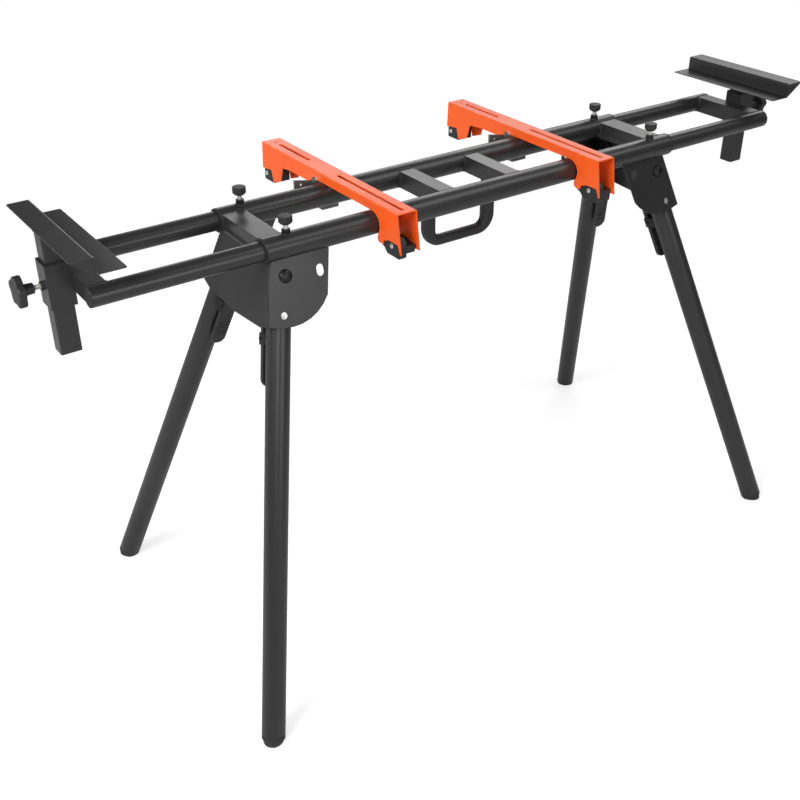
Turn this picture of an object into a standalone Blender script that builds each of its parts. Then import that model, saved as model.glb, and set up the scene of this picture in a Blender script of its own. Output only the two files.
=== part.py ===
"""Folding miter saw stand: two rails on four splayed legs, with extensions, work supports and saw arms.

Metres, +Z up. The origin is on the floor under the middle of the stand, +X runs along the rails,
and -Y is the side where the saw's user stands ("near").
"""
import math
from dataclasses import dataclass

import bmesh
import bpy
from mathutils import Matrix, Vector

# Clearances that all pieces share
GAP = 0.0003             # between faces that rest on or run in each other
OVERRUN = 0.012          # how far a cutter passes the face it opens
MERGE = 0.000001         # distance under which two points are one

# Steps of a full turn on round shapes
TUBE_STEPS = 24
PIN_STEPS = 12
LOBE_STEPS = 40
ARC_STEPS = 6

# Rails: the two main tubes and the frame between them
RAIL_Z = 0.765           # height of the rail axes
RAIL_Y = 0.0756          # rail axis to the middle of the stand
RAIL_RADIUS = 0.020
RAIL_WALL = 0.002
RAIL_END = 0.440         # half length over the end bushes
BUSH_FLANGE = 0.003
BUSH_STEM = 0.025
BUSH_WALL = 0.002        # between a rail's bore and the extension in it
CROSSBAR_X = 0.072       # middle crossbars
CROSSBAR_SIDE = 0.030
CROSSBAR_WALL = 0.002
CHANNEL_SETBACK = 0.004  # rail's end to the cross channel over a leg bracket
CHANNEL_WIDTH = 0.041
CHANNEL_WALL = 0.002
COPE_REACH = 0.012       # how far a coped bar runs past its tube's nearest side

# Extensions that slide out of the rails
EXTENSION_WALL = 0.0015
EXTENSION_LENGTH = 0.465
EXTENSION_PROUD = 0.0025  # end of a tube past its end crossbar
END_THICKNESS = 0.003    # wall that closes the outer end
SLIDER_LENGTH = 0.010    # guide ring on the inner end
WELD = 0.0005            # depth to which welded pieces enter each other

# Lock knobs that press on the extension tubes
TUBE_KNOB_SETBACK = 0.046  # from the rail's end
TUBE_SCREW_RADIUS = 0.003
TUBE_BOSS_RADIUS = 0.007
TUBE_BOSS_HEIGHT = 0.007  # above the rail
TUBE_BOSS_ROOT = 0.0018  # boss depth in the rail's wall
TUBE_NECK_RADIUS = 0.004
TUBE_NECK_LENGTH = 0.0077
TUBE_KNOB_HEIGHT = 0.014
TUBE_KNOB_RADIUS = 0.0112
TUBE_KNOB_EDGE = 0.0015
TUBE_KNOB_TAPER = 0.004

# Work support posts and their collars
POST_X = 0.7344
POST_WIDTH = 0.033       # along the rails
POST_DEPTH = 0.030
POST_WALL = 0.002
POST_DROP = 0.077        # post below its collar
COLLAR_CLEARANCE = 0.001
COLLAR_WALL = 0.0025
COLLAR_DROP = 0.034      # below the rail axes
COLLAR_RISE = 0.035      # above them
POST_BOSS_RADIUS = 0.007
POST_BOSS_LENGTH = 0.005
POST_SCREW_RADIUS = 0.004
SIDE_SHAFT_LENGTH = 0.0096
SIDE_HUB_RADIUS = 0.008
SIDE_HUB_LENGTH = 0.0155
SIDE_DISC_RADIUS = 0.0222
SIDE_LOBE_HEIGHT = 0.0023
SIDE_DISC_THICKNESS = 0.0125
SIDE_DISC_EDGE = 0.002
SIDE_LOBES = 5

# Work supports: a Z of sheet steel on each post
SUPPORT_CLEARANCE = 0.020  # collar to the lower flange
SUPPORT_STEP = 0.0246    # drop from the upper to the lower flange
SUPPORT_OVERHANG = 0.0011  # upper flange past the post
SUPPORT_FLANGE = 0.0455  # lower flange, from the web's face
SUPPORT_HALF_WIDTH = 0.130
SUPPORT_SHEET = 0.002

# Carry handle under the middle crossbars
HANDLE_INSET = 0.0055    # middle of a leg from the crossbar's middle
HANDLE_LEG_WIDTH = 0.025
HANDLE_OPENING = 0.080   # crossbars to the grip
HANDLE_GRIP = 0.0185
HANDLE_DEPTH = 0.020
HANDLE_OUTER_ROUND = 0.036
HANDLE_INNER_ROUND = 0.013
HANDLE_EDGE = 0.006

# Legs
LEG_RADIUS = 0.020
LEG_WALL = 0.002
LEG_SETBACK = 0.045      # rail's end to a leg's axis at the height of the rail axes
LEG_INSET = 0.0211       # rail axis to a leg's axis there
LEG_SPREAD_X = 0.205     # from there to the floor, along the rails
LEG_SPREAD_Y = 0.2495    # and across them
PIVOT_DROP = 0.0505      # below the rail axes
LEG_ABOVE_PIVOT = 0.018
FOOT_CAP_HEIGHT = 0.011  # along the leg, from the tube's end to the floor
FOOT_CAP_STEM = 0.022
FOOT_CAP_ROUND = 0.005
FOOT_CAP_OVERHANG = 0.012

# Leg brackets: a web with a flange folded along each leg
SHEET = 0.002
LEG_TO_SHEET = 0.0005    # side clearance of a leg in its bracket
WEB_CLEARANCE = 0.0055   # leg to the web
WEB_SHOULDER_INSET = 0.0335  # leg's axis under the rails to the web's low shoulder, outwards
WEB_SHOULDER_DROP = 0.0095  # flange's lower edge to that shoulder, down the leg
WEB_MIDDLE_DROP = 0.016  # flange's lower edge to the web's lower edge in the middle
FOLD_RADIUS = 0.005
LOCK_RADIUS = 0.062      # pivot to the lock pin and to the folded-lock slot
FLANGE_MARGIN = 0.019    # lock pin to the flange's lower edge
FLANGE_SIDE = 0.014      # folded-lock slot to its inner edge
LOCK_SLOT_WIDTH = 0.0135
LOCK_SLOT_HEIGHT = 0.020
LOCK_SLOT_DROP = 0.005   # slot's middle under the folded leg's pin

# Pivot bolts
BOLT_RADIUS = 0.005
BOLT_HEAD_RADIUS = 0.011
BOLT_HEAD_HEIGHT = 0.006
NUT_RADIUS = 0.008
NUT_HEIGHT = 0.006

# Lock pins and the levers that draw them
PIN_RADIUS = 0.0065
PIN_CHAMFER = 0.0007
PIN_NECK_RADIUS = 0.0032
PIN_SHOULDER_GAP = 0.002
PIN_HEAD_GAP = 0.0015
PIN_HEAD_LIP = 0.0015    # head past the lever's eye
PIN_HEAD_HEIGHT = 0.0035
LEVER_HALF_WIDTH = 0.0135
LEVER_THICKNESS = 0.008
LEVER_STAND_OFF = 0.009  # leg tube to the lever's face
LEVER_TOP = 0.012        # above the pin
LEVER_FULCRUM = 0.040    # below the pin
LEVER_BOTTOM = 0.119     # below the pin
LEVER_TOP_ROUND = 0.006
EYE_CLEARANCE = 0.0013   # pin's neck in the lever's eye
FULCRUM_RADIUS = 0.002
FULCRUM_HEAD = 0.0012
EAR_CLEARANCE = 0.0005
EAR_THICKNESS = 0.0022
SADDLE_LENGTH = 0.020
SADDLE_BASE = 0.004      # saddle thickness over the tube's crown
SADDLE_SKIRT = 0.008     # how far it reaches round the tube

# Saw arms: inverted channels that lie across the rails
# Places on an arm are measured outwards from the nearer rail's axis, and up (rise) or down (drop) from it
ARM_LEFT_X = -0.2165
ARM_RIGHT_X = 0.211
ARM_HALF_WIDTH = 0.019
ARM_WALL = 0.002
ARM_RISE = 0.036
NEAR_END_OUT = 0.0724
NEAR_TIP_OUT = 0.0824
NEAR_TIP_DROP = 0.030
NEAR_TIP_INNER_OUT = 0.0544
NEAR_TIP_ROOT_OUT = 0.0489
NOTCH_DROP = 0.015       # notch in the left wall for the catch's rivet
NOTCH_START_OUT = 0.0734
NOTCH_END_OUT = 0.0474
NOTCH_SLOPE_OUT = 0.0374
NOTCH_SLOPE_DROP = 0.020
NOTCH_MOUTH_OUT = 0.0874
NOTCH_MOUTH_DROP = 0.045
PRONG_SHOULDER_OUT = 0.0354
PRONG_SHOULDER_DROP = 0.019
PRONG_START_OUT = 0.0314
PRONG_END_OUT = 0.019
PRONG_DROP = 0.0275
RAIL_TIP_OUT = 0.0159
RAIL_TIP_DROP = 0.021
ARCH_CLEARANCE = 0.0025
ARCH_START_DEG = 90.0
ARCH_END_DEG = 205.0
ARCH_STEPS = 10
SLOPE_START_OUT = 0.0124
SLOPE_END_OUT = 0.0364
BEAM_RISE = 0.0095
BEAM_END_OUT = 0.1044
ROOT_OUT = 0.1409
ROOT_RISE = 0.006
FAR_PRONG_TIP_OUT = 0.1499
FAR_PRONG_TIP_DROP = 0.0225
FAR_PRONG_END_OUT = 0.1769
FAR_PRONG_END_DROP = 0.032
FAR_SHOULDER_OUT = 0.1834
FAR_SHOULDER_DROP = 0.010
FAR_EDGE_OUT = 0.2154
FAR_EDGE_DROP = 0.014
FAR_END_OUT = 0.2124
SLOT_WIDTH = 0.0065
FAR_SLOT_START_OUT = 0.0744
FAR_SLOT_END_OUT = 0.1804
NEAR_SLOT_START_OUT = 0.0624
NEAR_SLOT_END_IN = 0.0176  # inside the far rail's axis
SLOT_HOLE_OUT = 0.1934

# Rail hook inside each arm, behind the far rail
HOOK_CLEARANCE = 0.001
HOOK_FRONT_OUT = 0.0044
HOOK_BACK_OUT = 0.0364
HOOK_HEEL_OUT = 0.0304
HOOK_HEEL_RISE = 0.013
HOOK_WAIST_RISE = 0.007
HOOK_CURL_OUT = 0.0244
HOOK_CURL_DROP = 0.027
HOOK_DROP = 0.032
HOOK_LIP_OUT = 0.0084
HOOK_START_DEG = -65.0
HOOK_END_DEG = 70.0
HOOK_PLATE_REACH = 0.0375  # ear on the hook's left, from the arm's wall
HOOK_PLATE_ROOT = 0.010
HOOK_PLATE_OUT = 0.0311
HOOK_PLATE_THICKNESS = 0.004
HOOK_PLATE_RISE = 0.023
HOOK_PLATE_WALL_RISE = 0.0155  # its top edge at the arm's wall
HOOK_PLATE_ROOT_RISE = 0.0135
HOOK_PLATE_LOW_RISE = 0.0063
HOOK_PLATE_HOLE_REACH = 0.0245
HOOK_PLATE_HOLE_RISE = 0.0125
HOOK_PLATE_HOLE_RADIUS = 0.0025
HOOK_BOLT_OUT = 0.0194
HOOK_BOLT_RISE = 0.022
HOOK_BOLT_RADIUS = 0.003
HOOK_BOLT_HEAD_RADIUS = 0.0046
HOOK_BOLT_HEAD = 0.008
HOOK_NUT_HEIGHT = 0.004

# Plastic end blocks, rivets and release levers of the arms
BLOCK_START_OUT = 0.0744
BLOCK_END_OUT = 0.029
BLOCK_TOP_DROP = 0.0215
BLOCK_SLOPE_DROP = 0.0255
BLOCK_LOW_DROP = 0.0335
BLOCK_CHAMFER = 0.0032
FAR_BLOCK_START_OUT = 0.1794
FAR_BLOCK_END_OUT = 0.2134
FAR_BLOCK_RISE = 0.010
FAR_BLOCK_DROP = 0.035
CATCH_CLEARANCE = 0.0025
CATCH_THICKNESS = 0.0127
CATCH_TOP_DROP = 0.007
CATCH_LOW_DROP = 0.0425
CATCH_CHAMFER = 0.008
CATCH_NOSE_OUT = 0.0114
CATCH_NOSE_TOP_DROP = 0.018
CATCH_NOSE_LOW_DROP = 0.027
RIVET_NEAR_OUT = 0.0514
RIVET_NEAR_DROP = 0.025
RIVET_FAR_OUT = 0.2044
RIVET_FAR_DROP = 0.022
RIVET_RADIUS = 0.0025
RIVET_HEAD_RADIUS = 0.004
RIVET_HEAD = 0.0016
RIVET_DEPTH = 0.008

# Places that follow from the sizes above
RAIL_TOP = RAIL_Z + RAIL_RADIUS
EXTENSION_RADIUS = RAIL_RADIUS - RAIL_WALL - BUSH_WALL
EXTENSION_TOP = RAIL_Z + EXTENSION_RADIUS
CROSSBAR_BOTTOM = RAIL_Z - CROSSBAR_SIDE / 2
CHANNEL_OUTER_X = RAIL_END - CHANNEL_SETBACK
CHANNEL_INNER_X = CHANNEL_OUTER_X - CHANNEL_WIDTH
COLLAR_BOTTOM = RAIL_Z - COLLAR_DROP
COLLAR_TOP = RAIL_Z + COLLAR_RISE
COLLAR_HALF_X = POST_WIDTH / 2 + COLLAR_CLEARANCE + COLLAR_WALL
COLLAR_HALF_Y = POST_DEPTH / 2 + COLLAR_CLEARANCE + COLLAR_WALL
COLLAR_OUTER_X = POST_X + COLLAR_HALF_X
END_BAR_X = POST_X - COLLAR_HALF_X - CROSSBAR_SIDE / 2 + WELD
EXTENSION_END = END_BAR_X + CROSSBAR_SIDE / 2 + EXTENSION_PROUD
STAND_LENGTH = 2 * EXTENSION_END
SUPPORT_LOW = COLLAR_TOP + SUPPORT_CLEARANCE
SUPPORT_TOP = SUPPORT_LOW + SUPPORT_SHEET + SUPPORT_STEP
SUPPORT_WEB_X = POST_X - POST_WIDTH / 2 - GAP
SUPPORT_OUTER_X = POST_X + POST_WIDTH / 2 + SUPPORT_OVERHANG
SUPPORT_INNER_X = SUPPORT_WEB_X - SUPPORT_FLANGE
POST_TOP = SUPPORT_TOP - SUPPORT_SHEET - GAP
POST_BOTTOM = COLLAR_BOTTOM - POST_DROP
TUBE_KNOB_X = RAIL_END - TUBE_KNOB_SETBACK
TUBE_BOSS_TOP = RAIL_TOP + TUBE_BOSS_HEIGHT
TUBE_KNOB_BASE = TUBE_BOSS_TOP + TUBE_NECK_LENGTH
TUBE_KNOB_TOP = TUBE_KNOB_BASE + TUBE_KNOB_HEIGHT
HANDLE_LEG_X = CROSSBAR_X - HANDLE_INSET
HANDLE_GRIP_TOP = CROSSBAR_BOTTOM - HANDLE_OPENING
HANDLE_BOTTOM = HANDLE_GRIP_TOP - HANDLE_GRIP
LEG_TOP_X = RAIL_END - LEG_SETBACK
LEG_TOP_Y = RAIL_Y - LEG_INSET
FOOT_X = LEG_TOP_X + LEG_SPREAD_X
FOOT_Y = LEG_TOP_Y + LEG_SPREAD_Y
PIVOT_Z = RAIL_Z - PIVOT_DROP
BRACKET_TOP = CROSSBAR_BOTTOM - GAP
WEB_OFFSET = LEG_RADIUS + WEB_CLEARANCE + SHEET
FLANGE_RADIUS = LOCK_RADIUS + FLANGE_MARGIN
FLANGE_REACH = LOCK_RADIUS + FLANGE_SIDE
LEVER_MIDDLE = LEG_RADIUS + LEVER_STAND_OFF + LEVER_THICKNESS / 2
LEVER_EYE_RADIUS = PIN_NECK_RADIUS + EYE_CLEARANCE
PIN_HEAD_RADIUS = LEVER_EYE_RADIUS + PIN_HEAD_LIP
FULCRUM_DISTANCE = LOCK_RADIUS + LEVER_FULCRUM
ARM_REST = RAIL_TOP + GAP
ARM_TOP = RAIL_Z + ARM_RISE
ARM_INNER = ARM_HALF_WIDTH - ARM_WALL
ARM_FILL = ARM_INNER - GAP
CATCH_LEFT = -ARM_INNER + CATCH_CLEARANCE
BLOCK_LEFT = CATCH_LEFT + CATCH_THICKNESS + GAP
HOOK_PLATE_TIP = ARM_HALF_WIDTH + HOOK_PLATE_REACH
HOOK_PLATE_HOLE_X = ARM_HALF_WIDTH + HOOK_PLATE_HOLE_REACH
NEAR_SLOT_START = -RAIL_Y - NEAR_SLOT_START_OUT
NEAR_SLOT_END = RAIL_Y - NEAR_SLOT_END_IN
FAR_SLOT_START = RAIL_Y + FAR_SLOT_START_OUT
FAR_SLOT_END = RAIL_Y + FAR_SLOT_END_OUT
RIVET_NEAR_Y = RAIL_Y + RIVET_NEAR_OUT
RIVET_NEAR_Z = RAIL_Z - RIVET_NEAR_DROP

X_AXIS = Vector((1, 0, 0))
Y_AXIS = Vector((0, 1, 0))
Z_AXIS = Vector((0, 0, 1))
SIDES = (("left", -1), ("right", 1))
ROWS = (("near", -1), ("far", 1))
# First corner of small round shapes, turned so that it lies on no edge of the shapes around
CORNER = Vector((0.31, 0.43, 0.85))


def clear_scene():
    for item in list(bpy.data.objects):
        bpy.data.objects.remove(item, do_unlink=True)


def new_collection(name):
    home = bpy.data.collections.new(name)
    bpy.context.scene.collection.children.link(home)
    return home


def srgb(red, green, blue):
    """Linear colour from the 0-255 values seen on screen."""
    def linear(value):
        share = value / 255
        return share / 12.92 if share <= 0.04045 else ((share + 0.055) / 1.055) ** 2.4
    return (linear(red), linear(green), linear(blue), 1)


def new_material(name, colour, roughness, metallic):
    finish = bpy.data.materials.new(name)
    finish.use_nodes = True
    shader = finish.node_tree.nodes["Principled BSDF"]
    shader.inputs["Base Color"].default_value = colour
    shader.inputs["Roughness"].default_value = roughness
    shader.inputs["Metallic"].default_value = metallic
    finish.diffuse_color = colour
    return finish


clear_scene()
PARTS = new_collection("miter_saw_stand")
CUTTERS = new_collection("cutters")

DARK_PAINT = new_material("dark_powder_coat", srgb(70, 70, 72), 0.45, 0.3)
ORANGE_PAINT = new_material("orange_powder_coat", srgb(253, 97, 40), 0.4, 0.1)
BLACK_PLASTIC = new_material("black_plastic", srgb(36, 36, 38), 0.55, 0.0)
BLACK_STEEL = new_material("black_oxide_steel", srgb(42, 42, 44), 0.4, 0.8)
BRIGHT_STEEL = new_material("zinc_plated_steel", srgb(205, 205, 205), 0.3, 1.0)


def axis_frame(origin, axis, side):
    """Matrix whose Z lies along axis and whose X lies towards side."""
    z = axis.normalized()
    x = (side - side.dot(z) * z).normalized()
    y = z.cross(x)
    frame = Matrix((x, y, z)).transposed().to_4x4()
    frame.translation = origin
    return frame


def plane_frame(origin, first, second):
    """Matrix whose X and Y lie along two square directions of an outline's plane."""
    return axis_frame(origin, first.cross(second), first)


def keep(name, mesh, finish, frame=None):
    """New object in the part's own collection."""
    mesh.name = name
    item = bpy.data.objects.new(name, mesh)
    mesh.materials.clear()
    mesh.materials.append(finish)
    PARTS.objects.link(item)
    if frame is not None:
        item.matrix_world = frame
    return item


def as_tool(item):
    """Move an object to the cutters, so that it only shapes other pieces."""
    PARTS.objects.unlink(item)
    CUTTERS.objects.link(item)
    item.hide_render = True
    item.display_type = "WIRE"
    return item


def evaluated_mesh(item):
    bpy.context.view_layer.update()
    return bpy.data.meshes.new_from_object(item.evaluated_get(bpy.context.evaluated_depsgraph_get()))


def smooth(mesh):
    mesh.shade_smooth()
    mesh.set_sharp_from_angle(angle=math.radians(35))
    return mesh


def turned(name, profile, frame, finish, steps, ring=False):
    """Body turned about the frame's Z from (radius, height) points, outer side top to bottom."""
    mesh = bpy.data.meshes.new(name)
    count = len(profile)
    edges = [(i, i + 1) for i in range(count - 1)]
    if ring:
        edges.append((count - 1, 0))
    mesh.from_pydata([(radius, 0, height) for radius, height in profile], edges, [])
    draft = bpy.data.objects.new(name + "_profile", mesh)
    PARTS.objects.link(draft)
    screw = draft.modifiers.new("turn", "SCREW")
    screw.steps = steps
    screw.render_steps = steps
    screw.use_merge_vertices = True
    screw.merge_threshold = MERGE
    body = smooth(evaluated_mesh(draft))
    bpy.data.objects.remove(draft, do_unlink=True)
    return keep(name, body, finish, frame)


def tube(name, outer, inner, length, frame, finish, steps=TUBE_STEPS):
    """Hollow tube from the frame's origin along its Z."""
    profile = [(outer, length), (outer, 0), (inner, 0), (inner, length)]
    return turned(name, profile, frame, finish, steps, ring=True)


def rod(name, radius, length, frame, finish, steps=PIN_STEPS):
    """Solid rod from the frame's origin along its Z."""
    return turned(name, [(0, length), (radius, length), (radius, 0), (0, 0)], frame, finish, steps)


def extruded(name, loops, depth, frame, finish):
    """Flat outline, with any holes as further loops, extruded to both sides of the frame's XY plane."""
    shape = bpy.data.curves.new(name, "CURVE")
    shape.dimensions = "2D"
    shape.fill_mode = "BOTH"
    shape.extrude = depth / 2
    for loop in loops:
        spline = shape.splines.new("POLY")
        spline.points.add(len(loop) - 1)
        for point, (x, y) in zip(spline.points, loop):
            point.co = (x, y, 0, 1)
        spline.use_cyclic_u = True
    draft = bpy.data.objects.new(name + "_outline", shape)
    PARTS.objects.link(draft)
    mesh = evaluated_mesh(draft)
    bpy.data.objects.remove(draft, do_unlink=True)
    welded = bmesh.new()
    welded.from_mesh(mesh)
    bmesh.ops.remove_doubles(welded, verts=welded.verts, dist=MERGE)
    welded.to_mesh(mesh)
    welded.free()
    return keep(name, smooth(mesh), finish, frame)


def block(name, low, high, finish):
    """Box between two corners given in world places."""
    low = Vector(low)
    high = Vector(high)
    mesh = bpy.data.meshes.new(name)
    cube = bmesh.new()
    bmesh.ops.create_cube(cube, size=1)
    bmesh.ops.scale(cube, verts=cube.verts, vec=high - low)
    cube.to_mesh(mesh)
    cube.free()
    return keep(name, mesh, finish, Matrix.Translation((low + high) / 2))


def boolean(item, tool, operation):
    change = item.modifiers.new(f"{operation.lower()} {tool.name}", "BOOLEAN")
    change.operation = operation
    change.object = tool
    return item


def cut(item, *tools):
    for tool in tools:
        boolean(item, tool, "DIFFERENCE")
    return item


def join(item, *tools):
    for tool in tools:
        boolean(item, tool, "UNION")
    return item


def bevel(item, width, segments=2, degrees=40):
    edge = item.modifiers.new("edges", "BEVEL")
    edge.width = width
    edge.segments = segments
    edge.limit_method = "ANGLE"
    edge.angle_limit = math.radians(degrees)
    edge.use_clamp_overlap = True
    return item


def joint(name, place, parent=None):
    """Empty on a joint's axis, which carries what the joint moves."""
    axle = bpy.data.objects.new(name, None)
    axle.empty_display_size = RAIL_RADIUS
    PARTS.objects.link(axle)
    axle.matrix_world = Matrix.Translation(place)
    if parent is not None:
        carry(parent, axle)
    return axle


def carry(axle, *items):
    bpy.context.view_layer.update()
    for item in items:
        place = item.matrix_world.copy()
        item.parent = axle
        item.matrix_parent_inverse = axle.matrix_world.inverted()
        item.matrix_world = place


def arc(centre, radius, start_deg, end_deg, steps, other_radius=None):
    """Points on an arc, both ends included."""
    second = radius if other_radius is None else other_radius
    points = []
    for step in range(steps + 1):
        angle = math.radians(start_deg + (end_deg - start_deg) * step / steps)
        points.append((centre[0] + radius * math.cos(angle), centre[1] + second * math.sin(angle)))
    return points


def rectangle(half_x, half_y, middle_x=0, middle_y=0):
    return [
        (middle_x - half_x, middle_y - half_y),
        (middle_x + half_x, middle_y - half_y),
        (middle_x + half_x, middle_y + half_y),
        (middle_x - half_x, middle_y + half_y),
    ]


def slot_outline(start, end, width, across=0):
    """Slot with round ends along the outline's first direction."""
    radius = width / 2
    return (arc((end - radius, across), radius, -90, 90, ARC_STEPS)
            + arc((start + radius, across), radius, 90, 270, ARC_STEPS))


# Tools that several pieces share

def rail_cutter(row, y_sign):
    """Runs along a rail, one gap larger than the rail itself."""
    frame = axis_frame(Vector((-STAND_LENGTH / 2, y_sign * RAIL_Y, RAIL_Z)), X_AXIS, Z_AXIS)
    return as_tool(rod(f"{row}_rail_cutter", RAIL_RADIUS + GAP, STAND_LENGTH, frame, DARK_PAINT, TUBE_STEPS))


def extension_cutter(row, y_sign):
    frame = axis_frame(Vector((-STAND_LENGTH, y_sign * RAIL_Y, RAIL_Z)), X_AXIS, Z_AXIS)
    return as_tool(rod(f"{row}_extension_cutter", EXTENSION_RADIUS + GAP, 2 * STAND_LENGTH, frame, DARK_PAINT,
                       TUBE_STEPS))


RAIL_CUTTERS = [rail_cutter(row, y_sign) for row, y_sign in ROWS]
EXTENSION_CUTTERS = [extension_cutter(row, y_sign) for row, y_sign in ROWS]


# Rail frame

def main_tube(row, y_sign):
    """Rail with a threaded boss at each end for the lock knobs."""
    length = 2 * (RAIL_END - BUSH_FLANGE)
    frame = axis_frame(Vector((-length / 2, y_sign * RAIL_Y, RAIL_Z)), X_AXIS, Z_AXIS)
    rail = tube(f"main_tube_{row}", RAIL_RADIUS, RAIL_RADIUS - RAIL_WALL, length, frame, DARK_PAINT)
    for side, x_sign in SIDES:
        base = RAIL_TOP - TUBE_BOSS_ROOT
        place = Vector((x_sign * TUBE_KNOB_X, y_sign * RAIL_Y, base))
        boss = rod(f"{row}_{side}_boss", TUBE_BOSS_RADIUS, TUBE_BOSS_TOP - base,
                   axis_frame(place, Z_AXIS, X_AXIS), DARK_PAINT)
        bore = rod(f"{row}_{side}_screw_cutter", TUBE_SCREW_RADIUS + GAP, RAIL_RADIUS + OVERRUN,
                   axis_frame(place - Z_AXIS * RAIL_WALL, Z_AXIS, CORNER), DARK_PAINT)
        cut(join(rail, as_tool(boss)), as_tool(bore))
    return rail


def tube_bush(row, side, x_sign, y_sign):
    """Plastic guide in a rail's end, with a flange over the cut edge."""
    bore = EXTENSION_RADIUS + GAP
    stem = RAIL_RADIUS - RAIL_WALL - GAP
    lip = BUSH_FLANGE - GAP
    place = Vector((x_sign * RAIL_END, y_sign * RAIL_Y, RAIL_Z))
    profile = [(RAIL_RADIUS, 0), (RAIL_RADIUS, -lip), (stem, -lip), (stem, -BUSH_STEM), (bore, -BUSH_STEM),
               (bore, 0)]
    frame = axis_frame(place, X_AXIS * x_sign, Z_AXIS)
    return turned(f"tube_bush_{row}_{side}", profile, frame, BLACK_PLASTIC, TUBE_STEPS, ring=True)


def cross_channel(side, x_sign):
    """Inverted channel between the rails, over a leg bracket."""
    middle = (CHANNEL_INNER_X + CHANNEL_OUTER_X) / 2
    half = (CHANNEL_OUTER_X - CHANNEL_INNER_X) / 2
    inner = half - CHANNEL_WALL
    low = -CROSSBAR_SIDE / 2
    high = CROSSBAR_SIDE / 2
    outline = [(-half, low), (-inner, low), (-inner, high - CHANNEL_WALL), (inner, high - CHANNEL_WALL),
               (inner, low), (half, low), (half, high), (-half, high)]
    frame = plane_frame(Vector((x_sign * middle, 0, RAIL_Z)), X_AXIS, Z_AXIS)
    channel = extruded(f"cross_channel_{side}", [outline], coped_length(RAIL_RADIUS), frame, DARK_PAINT)
    return cut(channel, *RAIL_CUTTERS)


def coped_length(radius):
    """Length of a bar before its ends are cut round the tubes beside it."""
    return 2 * (RAIL_Y - radius + COPE_REACH)


def square_bar(name, x, radius, cutters):
    """Square tube between two round ones."""
    half = CROSSBAR_SIDE / 2
    inner = half - CROSSBAR_WALL
    frame = plane_frame(Vector((x, 0, RAIL_Z)), X_AXIS, Z_AXIS)
    walls = [rectangle(half, half), rectangle(inner, inner)]
    bar = extruded(name, walls, coped_length(radius), frame, DARK_PAINT)
    return cut(bar, *cutters)


def carry_handle():
    """Moulded U-shaped grip with its feet against the middle crossbars."""
    top = CROSSBAR_BOTTOM - GAP
    outer = HANDLE_LEG_X + HANDLE_LEG_WIDTH / 2
    inner = HANDLE_LEG_X - HANDLE_LEG_WIDTH / 2
    outer_round = HANDLE_OUTER_ROUND
    inner_round = HANDLE_INNER_ROUND
    outline = [(-outer, top)]
    outline += arc((-outer + outer_round, HANDLE_BOTTOM + outer_round), outer_round, 180, 270, ARC_STEPS)
    outline += arc((outer - outer_round, HANDLE_BOTTOM + outer_round), outer_round, 270, 360, ARC_STEPS)
    outline += [(outer, top), (inner, top)]
    low = HANDLE_GRIP_TOP + inner_round
    outline += arc((inner - inner_round, low), inner_round, 360, 270, ARC_STEPS // 2)
    outline += arc((-inner + inner_round, low), inner_round, 270, 180, ARC_STEPS // 2)
    outline += [(-inner, top)]
    handle = extruded("carry_handle", [outline], HANDLE_DEPTH, plane_frame(Vector((0, 0, 0)), X_AXIS, Z_AXIS),
                      BLACK_PLASTIC)
    bevel(handle, HANDLE_EDGE)
    return handle


# Legs and their brackets

@dataclass
class LegPlace:
    """A leg's place: unit vectors down the leg, across it to the stand's middle, and out of its bracket."""
    side: str
    row: str
    x_sign: int
    y_sign: int

    def __post_init__(self):
        top = Vector((self.x_sign * LEG_TOP_X, self.y_sign * LEG_TOP_Y, RAIL_Z))
        foot = Vector((self.x_sign * FOOT_X, self.y_sign * FOOT_Y, 0))
        self.name = f"{self.row}_{self.side}"
        self.down = (foot - top).normalized()
        inward = X_AXIS * -self.x_sign
        self.across = (inward - inward.dot(self.down) * self.down).normalized()
        out = X_AXIS.cross(self.down).normalized()
        self.out = out if out.y * self.y_sign > 0 else -out
        self.pivot = top + self.down * ((RAIL_Z - PIVOT_Z) / -self.down.z)
        self.length = (foot - self.pivot).length

    def point(self, down=0, across=0, out=0):
        return self.pivot + self.down * down + self.across * across + self.out * out

    def along(self, down=0, out=0):
        """Frame whose Z runs down the leg."""
        return axis_frame(self.point(down, 0, out), self.down, self.across)

    def through(self, down=0, across=0, out=0):
        """Frame whose Z points out of the bracket."""
        return axis_frame(self.point(down, across, out), self.out, self.across)

    def flat(self, down=0, out=0):
        """Frame of an outline drawn down and across the leg."""
        return plane_frame(self.point(down, 0, out), self.down, self.across)


LEGS = [LegPlace(side, row, x_sign, y_sign) for side, x_sign in SIDES for row, y_sign in ROWS]
SHEET_INNER = LEG_RADIUS + LEG_TO_SHEET
SHEET_OUTER = SHEET_INNER + SHEET


def bracket_top_distance(leg, across):
    """Distance down the leg, on the flange's outer face, at which the bracket's top edge lies."""
    level = leg.point(0, across, SHEET_OUTER)
    return (level.z - BRACKET_TOP) / -leg.down.z


def flange_outline(leg):
    """Points down and across the leg, from the fold's top round the inner edge to the fold's foot."""
    reach_angle = math.degrees(math.asin(FLANGE_REACH / FLANGE_RADIUS))
    edge = arc((0, 0), FLANGE_RADIUS, reach_angle, 0, ARC_STEPS)
    return [(bracket_top_distance(leg, -WEB_OFFSET), -WEB_OFFSET),
            (bracket_top_distance(leg, FLANGE_REACH), FLANGE_REACH),
            *edge,
            (FLANGE_RADIUS, -WEB_OFFSET)]


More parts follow.
